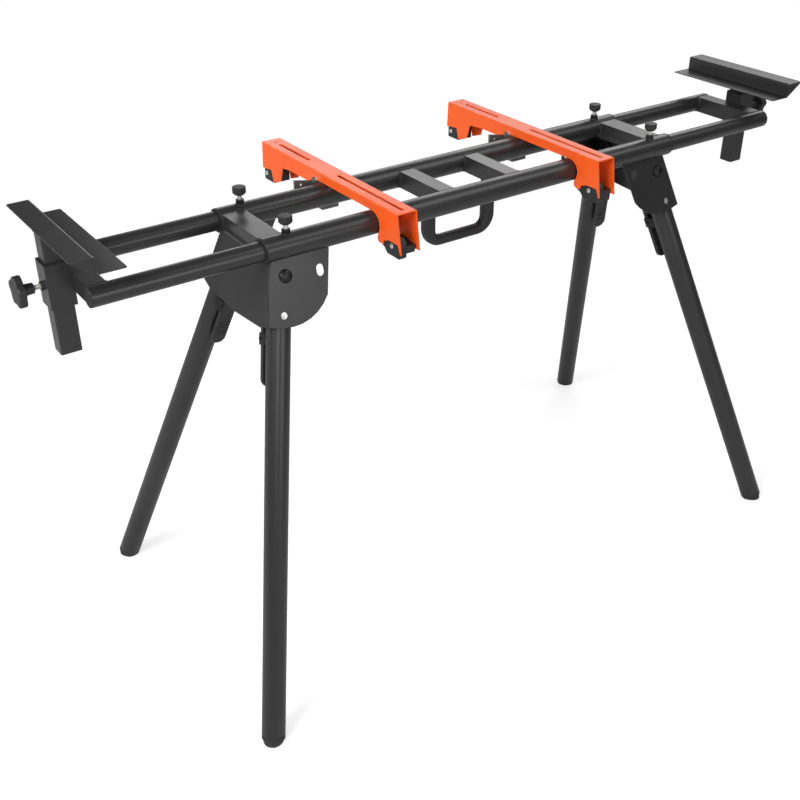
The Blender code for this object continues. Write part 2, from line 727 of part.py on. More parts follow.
def leg_bracket(side, x_sign):
    """Sheet bracket: half of its web and one flange, mirrored over the stand's middle plane."""
    leg = LegPlace(side, "near", x_sign, -1)
    middle = Vector((leg.pivot.x, 0, PIVOT_Z))
    web_out = Y_AXIS.cross(leg.down).normalized()
    if web_out.x * x_sign < 0:
        web_out = -web_out
    points = [leg.point(down, across, SHEET_OUTER) for down, across in flange_outline(leg)]
    sheet = bmesh.new()
    corners = [sheet.verts.new(point - middle) for point in points]
    fold_top = corners[0]
    fold_foot = corners[-1]
    web = []
    shoulder = leg.point(FLANGE_RADIUS + WEB_SHOULDER_DROP, -WEB_OFFSET, SHEET_OUTER)
    low = leg.point(FLANGE_RADIUS + WEB_MIDDLE_DROP, -WEB_OFFSET, SHEET_OUTER)
    for level, y in ((shoulder, -LEG_TOP_Y - WEB_SHOULDER_INSET), (low, 0), (points[0], 0)):
        web.append(sheet.verts.new((level.x - middle.x, y, level.z - middle.z)))
    for ring, outward in ((corners, leg.out), ([fold_top, fold_foot, *web], web_out)):
        face = sheet.faces.new(ring)
        face.normal_update()
        if face.normal.dot(outward) < 0:
            face.normal_flip()
    mesh = bpy.data.meshes.new("bracket")
    sheet.to_mesh(mesh)
    sheet.free()
    bracket = keep(f"leg_bracket_{side}", mesh, DARK_PAINT, Matrix.Translation(middle))
    mirror = bracket.modifiers.new("far half", "MIRROR")
    mirror.use_axis = (False, True, False)
    mirror.merge_threshold = MERGE
    bevel(bracket, FOLD_RADIUS, 3)
    shell = bracket.modifiers.new("sheet", "SOLIDIFY")
    shell.thickness = SHEET
    shell.offset = -1
    shell.use_even_offset = True
    cut(bracket, *RAIL_CUTTERS)
    for place in LEGS:
        if place.side == side:
            cut(bracket, *bracket_cutters(place))
    return bracket


def bracket_cutters(leg):
    """Pivot hole, lock pin hole and folded-lock slot of one flange."""
    start = SHEET_INNER - OVERRUN / 2
    pivot = rod(f"{leg.name}_pivot_cutter", BOLT_RADIUS + GAP, OVERRUN, leg.through(0, 0, start), DARK_PAINT)
    pin = rod(f"{leg.name}_pin_cutter", PIN_RADIUS + GAP, OVERRUN, leg.through(LOCK_RADIUS, 0, start),
              DARK_PAINT)
    level = X_AXIS * -leg.x_sign
    upward = -(level.cross(leg.out)).normalized()
    centre = leg.pivot + level * LOCK_RADIUS - upward * LOCK_SLOT_DROP + leg.out * (SHEET_INNER + SHEET / 2)
    half = LOCK_SLOT_HEIGHT / 2
    slot = extruded(f"{leg.name}_slot_cutter", [slot_outline(-half, half, LOCK_SLOT_WIDTH)], OVERRUN,
                    plane_frame(centre, upward, level), DARK_PAINT)
    return [as_tool(pivot), as_tool(pin), as_tool(slot)]


def pivot_bolt(leg):
    """Domed bolt through the flange and the leg, with its nut on the leg's inner side."""
    base = SHEET_OUTER + GAP
    nut_face = -LEG_RADIUS - GAP
    head = arc((0, base), BOLT_HEAD_RADIUS, 90, 0, ARC_STEPS // 2, BOLT_HEAD_HEIGHT)
    profile = head + [(BOLT_RADIUS, base), (BOLT_RADIUS, nut_face), (NUT_RADIUS, nut_face),
                      (NUT_RADIUS, nut_face - NUT_HEIGHT), (0, nut_face - NUT_HEIGHT)]
    return turned(f"pivot_bolt_{leg.name}", profile, leg.through(), BLACK_STEEL, PIN_STEPS)


def lever_saddle(leg):
    """Saddle and hinge pin that hold the lock lever, welded to the leg."""
    ear_inner = LEVER_HALF_WIDTH + EAR_CLEARANCE
    ear_outer = ear_inner + EAR_THICKNESS
    base = -(LEG_RADIUS + SADDLE_BASE)
    tip = -(LEVER_MIDDLE + LEVER_THICKNESS / 2)
    skirt = -(LEG_RADIUS - SADDLE_SKIRT)
    outline = [(-ear_outer, skirt), (ear_outer, skirt), (ear_outer, tip), (ear_inner, tip), (ear_inner, base),
               (-ear_inner, base), (-ear_inner, tip), (-ear_outer, tip)]
    frame = plane_frame(leg.point(FULCRUM_DISTANCE), leg.across, leg.out)
    saddle = extruded(f"{leg.name}_saddle", [outline], SADDLE_LENGTH, frame, DARK_PAINT)
    seat = rod(f"{leg.name}_saddle_cutter", LEG_RADIUS - LEG_WALL / 2, 2 * SADDLE_LENGTH,
               leg.along(FULCRUM_DISTANCE - SADDLE_LENGTH), DARK_PAINT, TUBE_STEPS)
    cut(saddle, as_tool(seat))
    half = ear_outer + FULCRUM_HEAD
    start = leg.point(FULCRUM_DISTANCE, -half, -LEVER_MIDDLE)
    pin = rod(f"{leg.name}_fulcrum", FULCRUM_RADIUS, 2 * half, axis_frame(start, leg.across, leg.out),
              DARK_PAINT)
    return as_tool(saddle), as_tool(pin)


def leg_tube(leg):
    start = leg.along(-LEG_ABOVE_PIVOT)
    length = LEG_ABOVE_PIVOT + leg.length - FOOT_CAP_HEIGHT
    pipe = tube(f"leg_tube_{leg.name}", LEG_RADIUS, LEG_RADIUS - LEG_WALL, length, start, DARK_PAINT)
    join(pipe, *lever_saddle(leg))
    reach = LEG_RADIUS + OVERRUN
    for label, down, radius in (("pivot", 0, BOLT_RADIUS), ("pin", LOCK_RADIUS, PIN_RADIUS)):
        hole = rod(f"{leg.name}_leg_{label}_cutter", radius + GAP, 2 * reach, leg.through(down, 0, -reach),
                   DARK_PAINT)
        cut(pipe, as_tool(hole))
    return pipe


def foot_cap(leg, ground):
    """Plastic foot: a stem in the tube and a rounded shoe that the floor cuts flat."""
    shoe = FOOT_CAP_HEIGHT - GAP
    end = -FOOT_CAP_OVERHANG
    stem = LEG_RADIUS - LEG_WALL - GAP
    profile = [(0, shoe + FOOT_CAP_STEM), (stem, shoe + FOOT_CAP_STEM), (stem, shoe), (LEG_RADIUS, shoe)]
    profile += arc((LEG_RADIUS - FOOT_CAP_ROUND, FOOT_CAP_ROUND), FOOT_CAP_ROUND, 0, -60, ARC_STEPS // 2)
    profile += [(LEG_RADIUS - FOOT_CAP_ROUND, end), (0, end)]
    frame = axis_frame(leg.point(leg.length), -leg.down, leg.across)
    return cut(turned(f"foot_cap_{leg.name}", profile, frame, BLACK_PLASTIC, TUBE_STEPS), ground)


def ground_cutter():
    reach = STAND_LENGTH
    return as_tool(block("ground_cutter", (-reach, -reach, -OVERRUN * 2), (reach, reach, 0), BLACK_PLASTIC))


def lock_lever(leg):
    """Paddle that is squeezed towards the leg and draws the lock pin."""
    half = LEVER_HALF_WIDTH
    top = LOCK_RADIUS - LEVER_TOP
    foot = LOCK_RADIUS + LEVER_BOTTOM
    corner = LEVER_TOP_ROUND
    outline = arc((foot - half, 0), half, -90, 90, ARC_STEPS)
    outline += arc((top + corner, half - corner), corner, 90, 180, ARC_STEPS // 2)
    outline += arc((top + corner, corner - half), corner, 180, 270, ARC_STEPS // 2)
    lever = extruded(f"lock_lever_{leg.name}", [outline], LEVER_THICKNESS, leg.flat(0, -LEVER_MIDDLE),
                     BLACK_PLASTIC)
    eye = rod(f"{leg.name}_eye_cutter", LEVER_EYE_RADIUS, OVERRUN * 2,
              leg.through(LOCK_RADIUS, 0, -LEVER_MIDDLE - OVERRUN), BLACK_PLASTIC)
    start = leg.point(FULCRUM_DISTANCE, -half - OVERRUN, -LEVER_MIDDLE)
    bore = rod(f"{leg.name}_bore_cutter", FULCRUM_RADIUS + GAP, 2 * (half + OVERRUN),
               axis_frame(start, leg.across, leg.out), BLACK_PLASTIC)
    return cut(lever, as_tool(eye), as_tool(bore))


def lock_pin(leg):
    """Bright pin across the leg, whose tip shows in the bracket's hole."""
    tip = LEG_RADIUS
    shoulder = -(LEG_RADIUS + LEVER_STAND_OFF - PIN_SHOULDER_GAP)
    head = -(LEVER_MIDDLE + LEVER_THICKNESS / 2 + PIN_HEAD_GAP)
    end = head - PIN_HEAD_HEIGHT
    profile = [(0, tip), (PIN_RADIUS - PIN_CHAMFER, tip), (PIN_RADIUS, tip - PIN_CHAMFER),
               (PIN_RADIUS, shoulder), (PIN_NECK_RADIUS, shoulder), (PIN_NECK_RADIUS, head),
               (PIN_HEAD_RADIUS, head), (PIN_HEAD_RADIUS, end), (0, end)]
    return turned(f"lock_pin_{leg.name}", profile, leg.through(LOCK_RADIUS), BRIGHT_STEEL, PIN_STEPS)


# Extensions, posts and work supports

def extension_tube(row, side, x_sign, y_sign):
    """Extension tube, closed at its outer end, with a guide ring that runs in the rail's bore."""
    bore = EXTENSION_RADIUS - EXTENSION_WALL
    ring = RAIL_RADIUS - RAIL_WALL - GAP
    place = Vector((x_sign * (EXTENSION_END - EXTENSION_LENGTH), y_sign * RAIL_Y, RAIL_Z))
    profile = [(0, EXTENSION_LENGTH), (EXTENSION_RADIUS, EXTENSION_LENGTH), (EXTENSION_RADIUS, SLIDER_LENGTH),
               (ring, SLIDER_LENGTH), (ring, 0), (bore, 0), (bore, EXTENSION_LENGTH - END_THICKNESS),
               (0, EXTENSION_LENGTH - END_THICKNESS)]
    frame = axis_frame(place, X_AXIS * x_sign, Z_AXIS)
    return turned(f"extension_tube_{row}_{side}", profile, frame, DARK_PAINT, TUBE_STEPS)


def end_frame(side, x_sign):
    """End crossbar with the square collar welded to it and a threaded boss for the side knob."""
    height = COLLAR_TOP - COLLAR_BOTTOM
    middle = Vector((x_sign * POST_X, 0, COLLAR_BOTTOM + height / 2))
    outer = rectangle(COLLAR_HALF_X, COLLAR_HALF_Y)
    inner = rectangle(COLLAR_HALF_X - COLLAR_WALL, COLLAR_HALF_Y - COLLAR_WALL)
    frame = plane_frame(middle, X_AXIS, Y_AXIS)
    collar = extruded(f"{side}_collar", [outer, inner], height, frame, DARK_PAINT)
    face = Vector((x_sign * (COLLAR_OUTER_X - COLLAR_WALL / 2), 0, RAIL_Z))
    boss = rod(f"{side}_collar_boss", POST_BOSS_RADIUS, COLLAR_WALL / 2 + POST_BOSS_LENGTH,
               axis_frame(face, X_AXIS * x_sign, Z_AXIS), DARK_PAINT)
    inside = Vector((x_sign * (COLLAR_OUTER_X - COLLAR_WALL - COLLAR_CLEARANCE), 0, RAIL_Z))
    thread = rod(f"{side}_collar_cutter", POST_SCREW_RADIUS + GAP, POST_BOSS_LENGTH + OVERRUN,
                 axis_frame(inside, X_AXIS * x_sign, CORNER), DARK_PAINT)
    bar = square_bar(f"end_frame_{side}", x_sign * END_BAR_X, EXTENSION_RADIUS, EXTENSION_CUTTERS)
    return cut(join(bar, as_tool(collar), as_tool(boss)), as_tool(thread))


def side_knob(side, x_sign):
    """Five-lobed knob on a screw that presses on the post."""
    start = POST_X + POST_WIDTH / 2 + GAP
    hub = COLLAR_OUTER_X + POST_BOSS_LENGTH + SIDE_SHAFT_LENGTH - start
    disc = hub + SIDE_HUB_LENGTH
    inside = disc + SIDE_DISC_THICKNESS / 2
    profile = [(0, inside), (SIDE_HUB_RADIUS, inside), (SIDE_HUB_RADIUS, hub), (POST_SCREW_RADIUS, hub),
               (POST_SCREW_RADIUS, 0), (0, 0)]
    frame = axis_frame(Vector((x_sign * start, 0, RAIL_Z)), X_AXIS * x_sign, CORNER)
    knob = turned(f"side_knob_{side}", profile, frame, BLACK_PLASTIC, PIN_STEPS)
    lobes = []
    for step in range(LOBE_STEPS):
        angle = 2 * math.pi * step / LOBE_STEPS
        radius = SIDE_DISC_RADIUS + SIDE_LOBE_HEIGHT * math.cos(SIDE_LOBES * angle)
        lobes.append((radius * math.cos(angle), radius * math.sin(angle)))
    centre = Vector((x_sign * (start + inside), 0, RAIL_Z))
    star = extruded(f"{side}_knob_star", [lobes], SIDE_DISC_THICKNESS,
                    axis_frame(centre, X_AXIS * x_sign, Z_AXIS), BLACK_PLASTIC)
    bevel(star, SIDE_DISC_EDGE, 1)
    return join(knob, as_tool(star))


def tube_knob(row, side, x_sign, y_sign):
    """Small round knob with the screw that presses on an extension tube."""
    edge = TUBE_KNOB_EDGE
    taper = TUBE_KNOB_TAPER
    radius = TUBE_KNOB_RADIUS
    profile = [(0, TUBE_KNOB_TOP), (radius - edge, TUBE_KNOB_TOP), (radius, TUBE_KNOB_TOP - edge),
               (radius, TUBE_KNOB_BASE + taper), (radius - taper, TUBE_KNOB_BASE),
               (TUBE_NECK_RADIUS, TUBE_KNOB_BASE), (TUBE_NECK_RADIUS, TUBE_BOSS_TOP + GAP),
               (TUBE_SCREW_RADIUS, TUBE_BOSS_TOP + GAP), (TUBE_SCREW_RADIUS, EXTENSION_TOP + GAP),
               (0, EXTENSION_TOP + GAP)]
    frame = axis_frame(Vector((x_sign * TUBE_KNOB_X, y_sign * RAIL_Y, 0)), Z_AXIS, CORNER)
    return turned(f"tube_knob_{row}_{side}", profile, frame, BLACK_PLASTIC, PIN_STEPS)


def support_post(side, x_sign):
    middle = Vector((x_sign * POST_X, 0, (POST_BOTTOM + POST_TOP) / 2))
    half_x = POST_WIDTH / 2
    half_y = POST_DEPTH / 2
    walls = [rectangle(half_x, half_y), rectangle(half_x - POST_WALL, half_y - POST_WALL)]
    frame = plane_frame(middle, X_AXIS, Y_AXIS)
    return extruded(f"support_post_{side}", walls, POST_TOP - POST_BOTTOM, frame, DARK_PAINT)


def work_support(side, x_sign):
    """Z-shaped sheet that carries the workpiece."""
    sheet = SUPPORT_SHEET
    low = SUPPORT_LOW + sheet
    web_inner = SUPPORT_WEB_X - sheet
    section = [(SUPPORT_INNER_X, low - sheet), (SUPPORT_WEB_X, low - sheet),
               (SUPPORT_WEB_X, SUPPORT_TOP - sheet), (SUPPORT_OUTER_X, SUPPORT_TOP - sheet),
               (SUPPORT_OUTER_X, SUPPORT_TOP), (web_inner, SUPPORT_TOP), (web_inner, low),
               (SUPPORT_INNER_X, low)]
    outline = [(x_sign * x, z) for x, z in section]
    return extruded(f"work_support_{side}", [outline], 2 * SUPPORT_HALF_WIDTH,
                    plane_frame(Vector((0, 0, 0)), X_AXIS, Z_AXIS), DARK_PAINT)


# Saw arms

def near(out, rise):
    """(y, z) of a place outside the near rail's axis and above it."""
    return (-RAIL_Y - out, RAIL_Z + rise)


def far(out, rise):
    """(y, z) of a place outside the far rail's axis and above it."""
    return (RAIL_Y + out, RAIL_Z + rise)


def arm_outline():
    """Side view of an arm as (y, z) points, from the near end's top round its lower edge."""
    arch = arc(near(0, 0), RAIL_RADIUS + ARCH_CLEARANCE, ARCH_END_DEG, ARCH_START_DEG, ARCH_STEPS,
               RAIL_RADIUS + GAP)
    return [
        near(NEAR_END_OUT, ARM_RISE),
        near(NEAR_TIP_OUT, -NEAR_TIP_DROP),
        near(NEAR_TIP_INNER_OUT, -NEAR_TIP_DROP),
        near(NEAR_TIP_ROOT_OUT, -PRONG_SHOULDER_DROP),
        near(PRONG_SHOULDER_OUT, -PRONG_SHOULDER_DROP),
        near(PRONG_START_OUT, -PRONG_DROP),
        near(PRONG_END_OUT, -PRONG_DROP),
        near(RAIL_TIP_OUT, -RAIL_TIP_DROP),
        *arch,
        far(SLOPE_START_OUT, RAIL_RADIUS + GAP),
        far(SLOPE_END_OUT, BEAM_RISE),
        far(BEAM_END_OUT, BEAM_RISE),
        far(ROOT_OUT, ROOT_RISE),
        far(FAR_PRONG_TIP_OUT, -FAR_PRONG_TIP_DROP),
        far(FAR_PRONG_END_OUT, -FAR_PRONG_END_DROP),
        far(FAR_SHOULDER_OUT, -FAR_SHOULDER_DROP),
        far(FAR_EDGE_OUT, -FAR_EDGE_DROP),
        far(FAR_END_OUT, ARM_RISE),
    ]


def side_frame(x):
    """Frame of an outline drawn in side view, as (y, z) points."""
    return plane_frame(Vector((x, 0, 0)), Y_AXIS, Z_AXIS)


def saw_arm(side, x):
    arm = extruded(f"saw_arm_{side}", [arm_outline()], 2 * ARM_HALF_WIDTH, side_frame(x), ORANGE_PAINT)
    reach = RAIL_Y + FAR_EDGE_OUT + OVERRUN
    low = RAIL_Z - FAR_PRONG_END_DROP - OVERRUN
    hollow = block(f"{side}_arm_hollow_cutter", (x - ARM_INNER, -reach, low),
                   (x + ARM_INNER, reach, ARM_TOP - ARM_WALL), ORANGE_PAINT)
    cut(arm, as_tool(hollow))
    slots = (("near", NEAR_SLOT_START, NEAR_SLOT_END), ("far", FAR_SLOT_START, FAR_SLOT_END))
    for label, start, end in slots:
        frame = plane_frame(Vector((x, 0, ARM_TOP)), Y_AXIS, -X_AXIS)
        outline = slot_outline(start, end, SLOT_WIDTH)
        slot = extruded(f"{side}_arm_{label}_slot_cutter", [outline], OVERRUN, frame, ORANGE_PAINT)
        cut(arm, as_tool(slot))
    place = Vector((x, RAIL_Y + SLOT_HOLE_OUT, ARM_TOP - OVERRUN / 2))
    hole = rod(f"{side}_arm_hole_cutter", SLOT_WIDTH / 2, OVERRUN, axis_frame(place, Z_AXIS, CORNER),
               ORANGE_PAINT)
    cut(arm, as_tool(hole))
    notch = [near(NOTCH_START_OUT, -NOTCH_DROP), near(NOTCH_END_OUT, -NOTCH_DROP),
             near(NOTCH_SLOPE_OUT, -NOTCH_SLOPE_DROP), near(NOTCH_SLOPE_OUT, -NOTCH_MOUTH_DROP),
             near(NOTCH_MOUTH_OUT, -NOTCH_MOUTH_DROP)]
    cut(arm, as_tool(extruded(f"{side}_arm_notch_cutter", [notch], 2 * ARM_INNER,
                              side_frame(x - ARM_INNER - OVERRUN), ORANGE_PAINT)))
    start = Vector((x - ARM_HALF_WIDTH - OVERRUN, *far(HOOK_BOLT_OUT, HOOK_BOLT_RISE)))
    bolt = rod(f"{side}_arm_bolt_cutter", HOOK_BOLT_RADIUS + GAP, 2 * (ARM_HALF_WIDTH + OVERRUN),
               axis_frame(start, X_AXIS, CORNER), ORANGE_PAINT)
    low = Vector((x - ARM_HALF_WIDTH - OVERRUN, *far(HOOK_PLATE_OUT - GAP, HOOK_PLATE_LOW_RISE - OVERRUN)))
    high = Vector((x - ARM_INNER + OVERRUN / 2,
                   *far(HOOK_PLATE_OUT + HOOK_PLATE_THICKNESS + GAP, HOOK_PLATE_WALL_RISE + GAP)))
    return cut(arm, as_tool(bolt), as_tool(block(f"{side}_arm_plate_cutter", low, high, ORANGE_PAINT)))


def rail_hook(side, x):
    """Hook behind and under the far rail, with its cross plate and the bolt through the arm's walls."""
    radius = RAIL_RADIUS + HOOK_CLEARANCE
    ceiling = ARM_RISE - ARM_WALL - GAP
    outline = [
        far(HOOK_FRONT_OUT, ceiling),
        *reversed(arc(far(0, 0), radius, HOOK_START_DEG, HOOK_END_DEG, ARC_STEPS)),
        far(HOOK_LIP_OUT, -HOOK_DROP),
        far(HOOK_CURL_OUT, -HOOK_DROP),
        far(HOOK_HEEL_OUT, -HOOK_CURL_DROP),
        far(HOOK_HEEL_OUT, HOOK_WAIST_RISE),
        far(HOOK_BACK_OUT, HOOK_HEEL_RISE),
        far(HOOK_BACK_OUT, ceiling),
    ]
    hook = extruded(f"rail_hook_{side}", [outline], 2 * ARM_FILL, side_frame(x), BLACK_STEEL)
    ear = [(-HOOK_PLATE_TIP, HOOK_PLATE_LOW_RISE), (-HOOK_PLATE_ROOT, HOOK_PLATE_LOW_RISE),
           (-HOOK_PLATE_ROOT, HOOK_PLATE_ROOT_RISE), (-HOOK_PLATE_TIP, HOOK_PLATE_RISE)]
    middle = Vector((x, *far(HOOK_PLATE_OUT + HOOK_PLATE_THICKNESS / 2, 0)))
    plate = extruded(f"{side}_hook_plate", [ear], HOOK_PLATE_THICKNESS, plane_frame(middle, X_AXIS, Z_AXIS),
                     BLACK_STEEL)
    join(hook, as_tool(plate))
    width = 2 * (ARM_HALF_WIDTH + GAP)
    head = Vector((x - ARM_HALF_WIDTH - GAP, *far(HOOK_BOLT_OUT, HOOK_BOLT_RISE)))
    bolt = headed_pin(f"{side}_hook_bolt", head, width, HOOK_BOLT_RADIUS, HOOK_BOLT_HEAD_RADIUS,
                      HOOK_BOLT_HEAD, width)
    join(hook, as_tool(bolt))
    place = Vector((x - HOOK_PLATE_HOLE_X, *far(HOOK_PLATE_OUT - OVERRUN, HOOK_PLATE_HOLE_RISE)))
    hole = rod(f"{side}_plate_cutter", HOOK_PLATE_HOLE_RADIUS, 2 * OVERRUN, axis_frame(place, Y_AXIS, CORNER),
               BLACK_STEEL)
    return cut(hook, as_tool(hole))


def end_block_near(side, x):
    """Plastic block against the right wall at the near end, with the rivet that the catch turns on."""
    section = [(BLOCK_LEFT, -BLOCK_LOW_DROP), (ARM_FILL - BLOCK_CHAMFER, -BLOCK_LOW_DROP),
               (ARM_FILL, -BLOCK_SLOPE_DROP), (ARM_FILL, -BLOCK_TOP_DROP), (BLOCK_LEFT, -BLOCK_TOP_DROP)]
    middle = Vector((x, *near((BLOCK_START_OUT + BLOCK_END_OUT) / 2, 0)))
    block_near = extruded(f"end_block_near_{side}", [section], BLOCK_START_OUT - BLOCK_END_OUT,
                          plane_frame(middle, X_AXIS, Z_AXIS), BLACK_PLASTIC)
    face = CATCH_LEFT - GAP
    head = Vector((x + face, *near(RIVET_NEAR_OUT, -RIVET_NEAR_DROP)))
    rivet = headed_pin(f"{side}_near_rivet", head, BLOCK_LEFT + RIVET_DEPTH - face, RIVET_RADIUS,
                       RIVET_HEAD_RADIUS, RIVET_HEAD)
    return join(block_near, as_tool(rivet))


def end_block_far(side, x):
    """Plastic block between the walls at the far end, with its rivet."""
    block_far = block(f"end_block_far_{side}", (x - ARM_FILL, *far(FAR_BLOCK_START_OUT, -FAR_BLOCK_DROP)),
                      (x + ARM_FILL, *far(FAR_BLOCK_END_OUT, FAR_BLOCK_RISE)), BLACK_PLASTIC)
    head = Vector((x - ARM_FILL, *far(RIVET_FAR_OUT, -RIVET_FAR_DROP)))
    rivet = headed_pin(f"{side}_far_rivet", head, RIVET_DEPTH, RIVET_RADIUS, RIVET_HEAD_RADIUS, RIVET_HEAD)
    return join(block_far, as_tool(rivet))


def release_catch(side, x):
    """Thumb catch on the near rivet, with a nose under the near rail."""
    outline = [
        near(BLOCK_START_OUT, -CATCH_TOP_DROP - CATCH_CHAMFER),
        near(BLOCK_START_OUT, CATCH_CHAMFER / 2 - CATCH_LOW_DROP),
        near(BLOCK_START_OUT - CATCH_CHAMFER / 2, -CATCH_LOW_DROP),
        near(BLOCK_END_OUT + CATCH_CHAMFER, -CATCH_LOW_DROP),
        near(BLOCK_END_OUT, CATCH_CHAMFER - CATCH_LOW_DROP),
        near(CATCH_NOSE_OUT, -CATCH_NOSE_LOW_DROP),
        near(CATCH_NOSE_OUT, -CATCH_NOSE_TOP_DROP),
        near(BLOCK_END_OUT, -CATCH_NOSE_TOP_DROP),
        near(BLOCK_END_OUT + CATCH_CHAMFER, -CATCH_TOP_DROP),
        near(BLOCK_START_OUT - CATCH_CHAMFER, -CATCH_TOP_DROP),
    ]
    middle = x + CATCH_LEFT + CATCH_THICKNESS / 2
    catch = extruded(f"release_catch_{side}", [outline], CATCH_THICKNESS, side_frame(middle), BLACK_PLASTIC)
    start = Vector((x + CATCH_LEFT - OVERRUN, *near(RIVET_NEAR_OUT, -RIVET_NEAR_DROP)))
    bore = rod(f"{side}_catch_cutter", RIVET_RADIUS + GAP, CATCH_THICKNESS + 2 * OVERRUN,
               axis_frame(start, X_AXIS, CORNER), BLACK_PLASTIC)
    return cut(catch, as_tool(bore))


def headed_pin(name, place, length, radius, head_radius, head, nut_start=None):
    """Pin along +X from a place in front of which its head stands, with an optional nut at nut_start."""
    profile = [(0, length), (radius, length), (radius, 0), (head_radius, 0), (head_radius, -head), (0, -head)]
    if nut_start is not None:
        end = nut_start + HOOK_NUT_HEIGHT
        profile = [(0, end), (head_radius, end), (head_radius, nut_start), (radius, nut_start)] + profile[2:]
    return turned(name, profile, axis_frame(place, X_AXIS, CORNER), BRIGHT_STEEL, PIN_STEPS)


# Assembly

def build_frame():
    for row, y_sign in ROWS:
        main_tube(row, y_sign)
    for side, x_sign in SIDES:
        cross_channel(side, x_sign)
        leg_bracket(side, x_sign)
        square_bar(f"crossbar_{side}", x_sign * CROSSBAR_X, RAIL_RADIUS, RAIL_CUTTERS)
        for row, y_sign in ROWS:
            tube_bush(row, side, x_sign, y_sign)
            knob = tube_knob(row, side, x_sign, y_sign)
            place = Vector((x_sign * TUBE_KNOB_X, y_sign * RAIL_Y, TUBE_KNOB_BASE))
            carry(joint(f"tube_knob_axis_{row}_{side}", place), knob)
    carry_handle()
    for leg in LEGS:
        pivot_bolt(leg)


def build_leg(leg, ground):
    swing = joint(f"leg_axis_{leg.name}", leg.pivot)
    carry(swing, leg_tube(leg), foot_cap(leg, ground))
    hinge = joint(f"lever_axis_{leg.name}", leg.point(FULCRUM_DISTANCE, 0, -LEVER_MIDDLE), swing)
    carry(hinge, lock_lever(leg))
    slide = joint(f"pin_axis_{leg.name}", leg.point(LOCK_RADIUS), swing)
    carry(slide, lock_pin(leg))


def build_extension(side, x_sign):
    slide = joint(f"extension_axis_{side}", Vector((x_sign * END_BAR_X, 0, RAIL_Z)))
    tubes = [extension_tube(row, side, x_sign, y_sign) for row, y_sign in ROWS]
    carry(slide, end_frame(side, x_sign), *tubes)
    lift = joint(f"post_axis_{side}", Vector((x_sign * POST_X, 0, COLLAR_TOP)), slide)
    carry(lift, support_post(side, x_sign), work_support(side, x_sign))
    turn = joint(f"side_knob_axis_{side}", Vector((x_sign * COLLAR_OUTER_X, 0, RAIL_Z)), slide)
    carry(turn, side_knob(side, x_sign))


def build_arm(side, x):
    slide = joint(f"arm_axis_{side}", Vector((x, 0, ARM_REST)))
    carry(slide, saw_arm(side, x), rail_hook(side, x), end_block_near(side, x), end_block_far(side, x))
    hinge = joint(f"catch_axis_{side}", Vector((x, -RIVET_NEAR_Y, RIVET_NEAR_Z)), slide)
    carry(hinge, release_catch(side, x))


def build_stand():
    build_frame()
    ground = ground_cutter()
    for leg in LEGS:
        build_leg(leg, ground)
    for side, x_sign in SIDES:
        build_extension(side, x_sign)
    build_arm("left", ARM_LEFT_X)
    build_arm("right", ARM_RIGHT_X)


build_stand()
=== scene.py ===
"""Looks of a folding miter saw stand: powder-coated steel, orange saw arms and moulded black fittings."""

import logging
import math
from collections.abc import Callable, Sequence
from dataclasses import dataclass, field
from enum import Enum

import bmesh
import bpy
from mathutils import Matrix, Vector


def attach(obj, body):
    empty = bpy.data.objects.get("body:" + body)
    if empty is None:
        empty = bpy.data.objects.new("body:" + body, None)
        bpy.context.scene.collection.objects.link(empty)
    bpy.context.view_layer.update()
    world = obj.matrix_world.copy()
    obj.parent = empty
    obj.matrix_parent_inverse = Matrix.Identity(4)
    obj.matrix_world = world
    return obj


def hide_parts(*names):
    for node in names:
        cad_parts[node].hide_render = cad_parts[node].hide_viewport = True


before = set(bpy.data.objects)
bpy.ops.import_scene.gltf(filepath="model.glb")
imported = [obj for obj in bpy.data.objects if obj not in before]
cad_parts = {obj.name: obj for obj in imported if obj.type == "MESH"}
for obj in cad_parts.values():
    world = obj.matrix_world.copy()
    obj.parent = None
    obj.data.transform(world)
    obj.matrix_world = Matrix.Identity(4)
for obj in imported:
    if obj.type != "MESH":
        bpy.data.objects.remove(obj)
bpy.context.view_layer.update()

LOG = logging.getLogger("saw_stand")

TURN_STEPS = 64                  # steps of a full turn on tubes and knobs
PIN_STEPS = 32                   # on pins, rivets and bolts
BEAD_STEPS = 10                  # on and along the arc of a weld bead
BEAD_SIDES = 12                  # round a straight weld bead
NUT_SIDES = 6
MERGE = 0.00001                  # distance under which two points are one
ON_FACE = 0.0001                 # distance under which a point lies on a face
FLAT_ANGLE = math.radians(0.8)   # CAD triangles that differ by less are one face
EDGE_ANGLE = math.radians(38)    # sharper edges than this are softened
SMOOTH_ANGLE = math.radians(32)  # flatter edges than this are shaded smooth
GAP = 0.0003                     # gap that pieces beside each other keep
CUT_EDGE = 0.0003                # rounding of a sawn or punched edge
PAST_BEND = 1.5                  # widths of a bend after which an edge isn't part of it
LEVEL = 0.9                      # share of Z in a normal above which a face lies level
NOISE_MIDDLE = 0.5               # value about which noise varies
WEAR = "edge_wear"               # face attribute that marks rounded edges

X_AXIS = Vector((1, 0, 0))
Y_AXIS = Vector((0, 1, 0))
Z_AXIS = Vector((0, 0, 1))
ORIGIN = Vector((0, 0, 0))
ASKEW = Vector((0.3, 0.5, 0.8))  # lies along no bead
SIDES = (("left", -1), ("right", 1))
ROWS = (("near", -1), ("far", 1))
ARMS = (("left", -0.2165), ("right", 0.211))

MIX_INPUTS = (0, 6, 7)           # share, first and second colour of a Mix node
MIX_OUTPUT = 2                   # its mixed colour

Pair = tuple[float, float]
Triple = tuple[float, float, float]
Profile = Sequence[Pair]
Colour = tuple[float, float, float, float]


class Slot(Enum):
    """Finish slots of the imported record."""
    DARK_PAINT = "dark_paint"
    ORANGE_PAINT = "orange_paint"
    BLACK_PLASTIC = "black_plastic"
    BLACK_STEEL = "black_steel"
    BRIGHT_STEEL = "bright_steel"


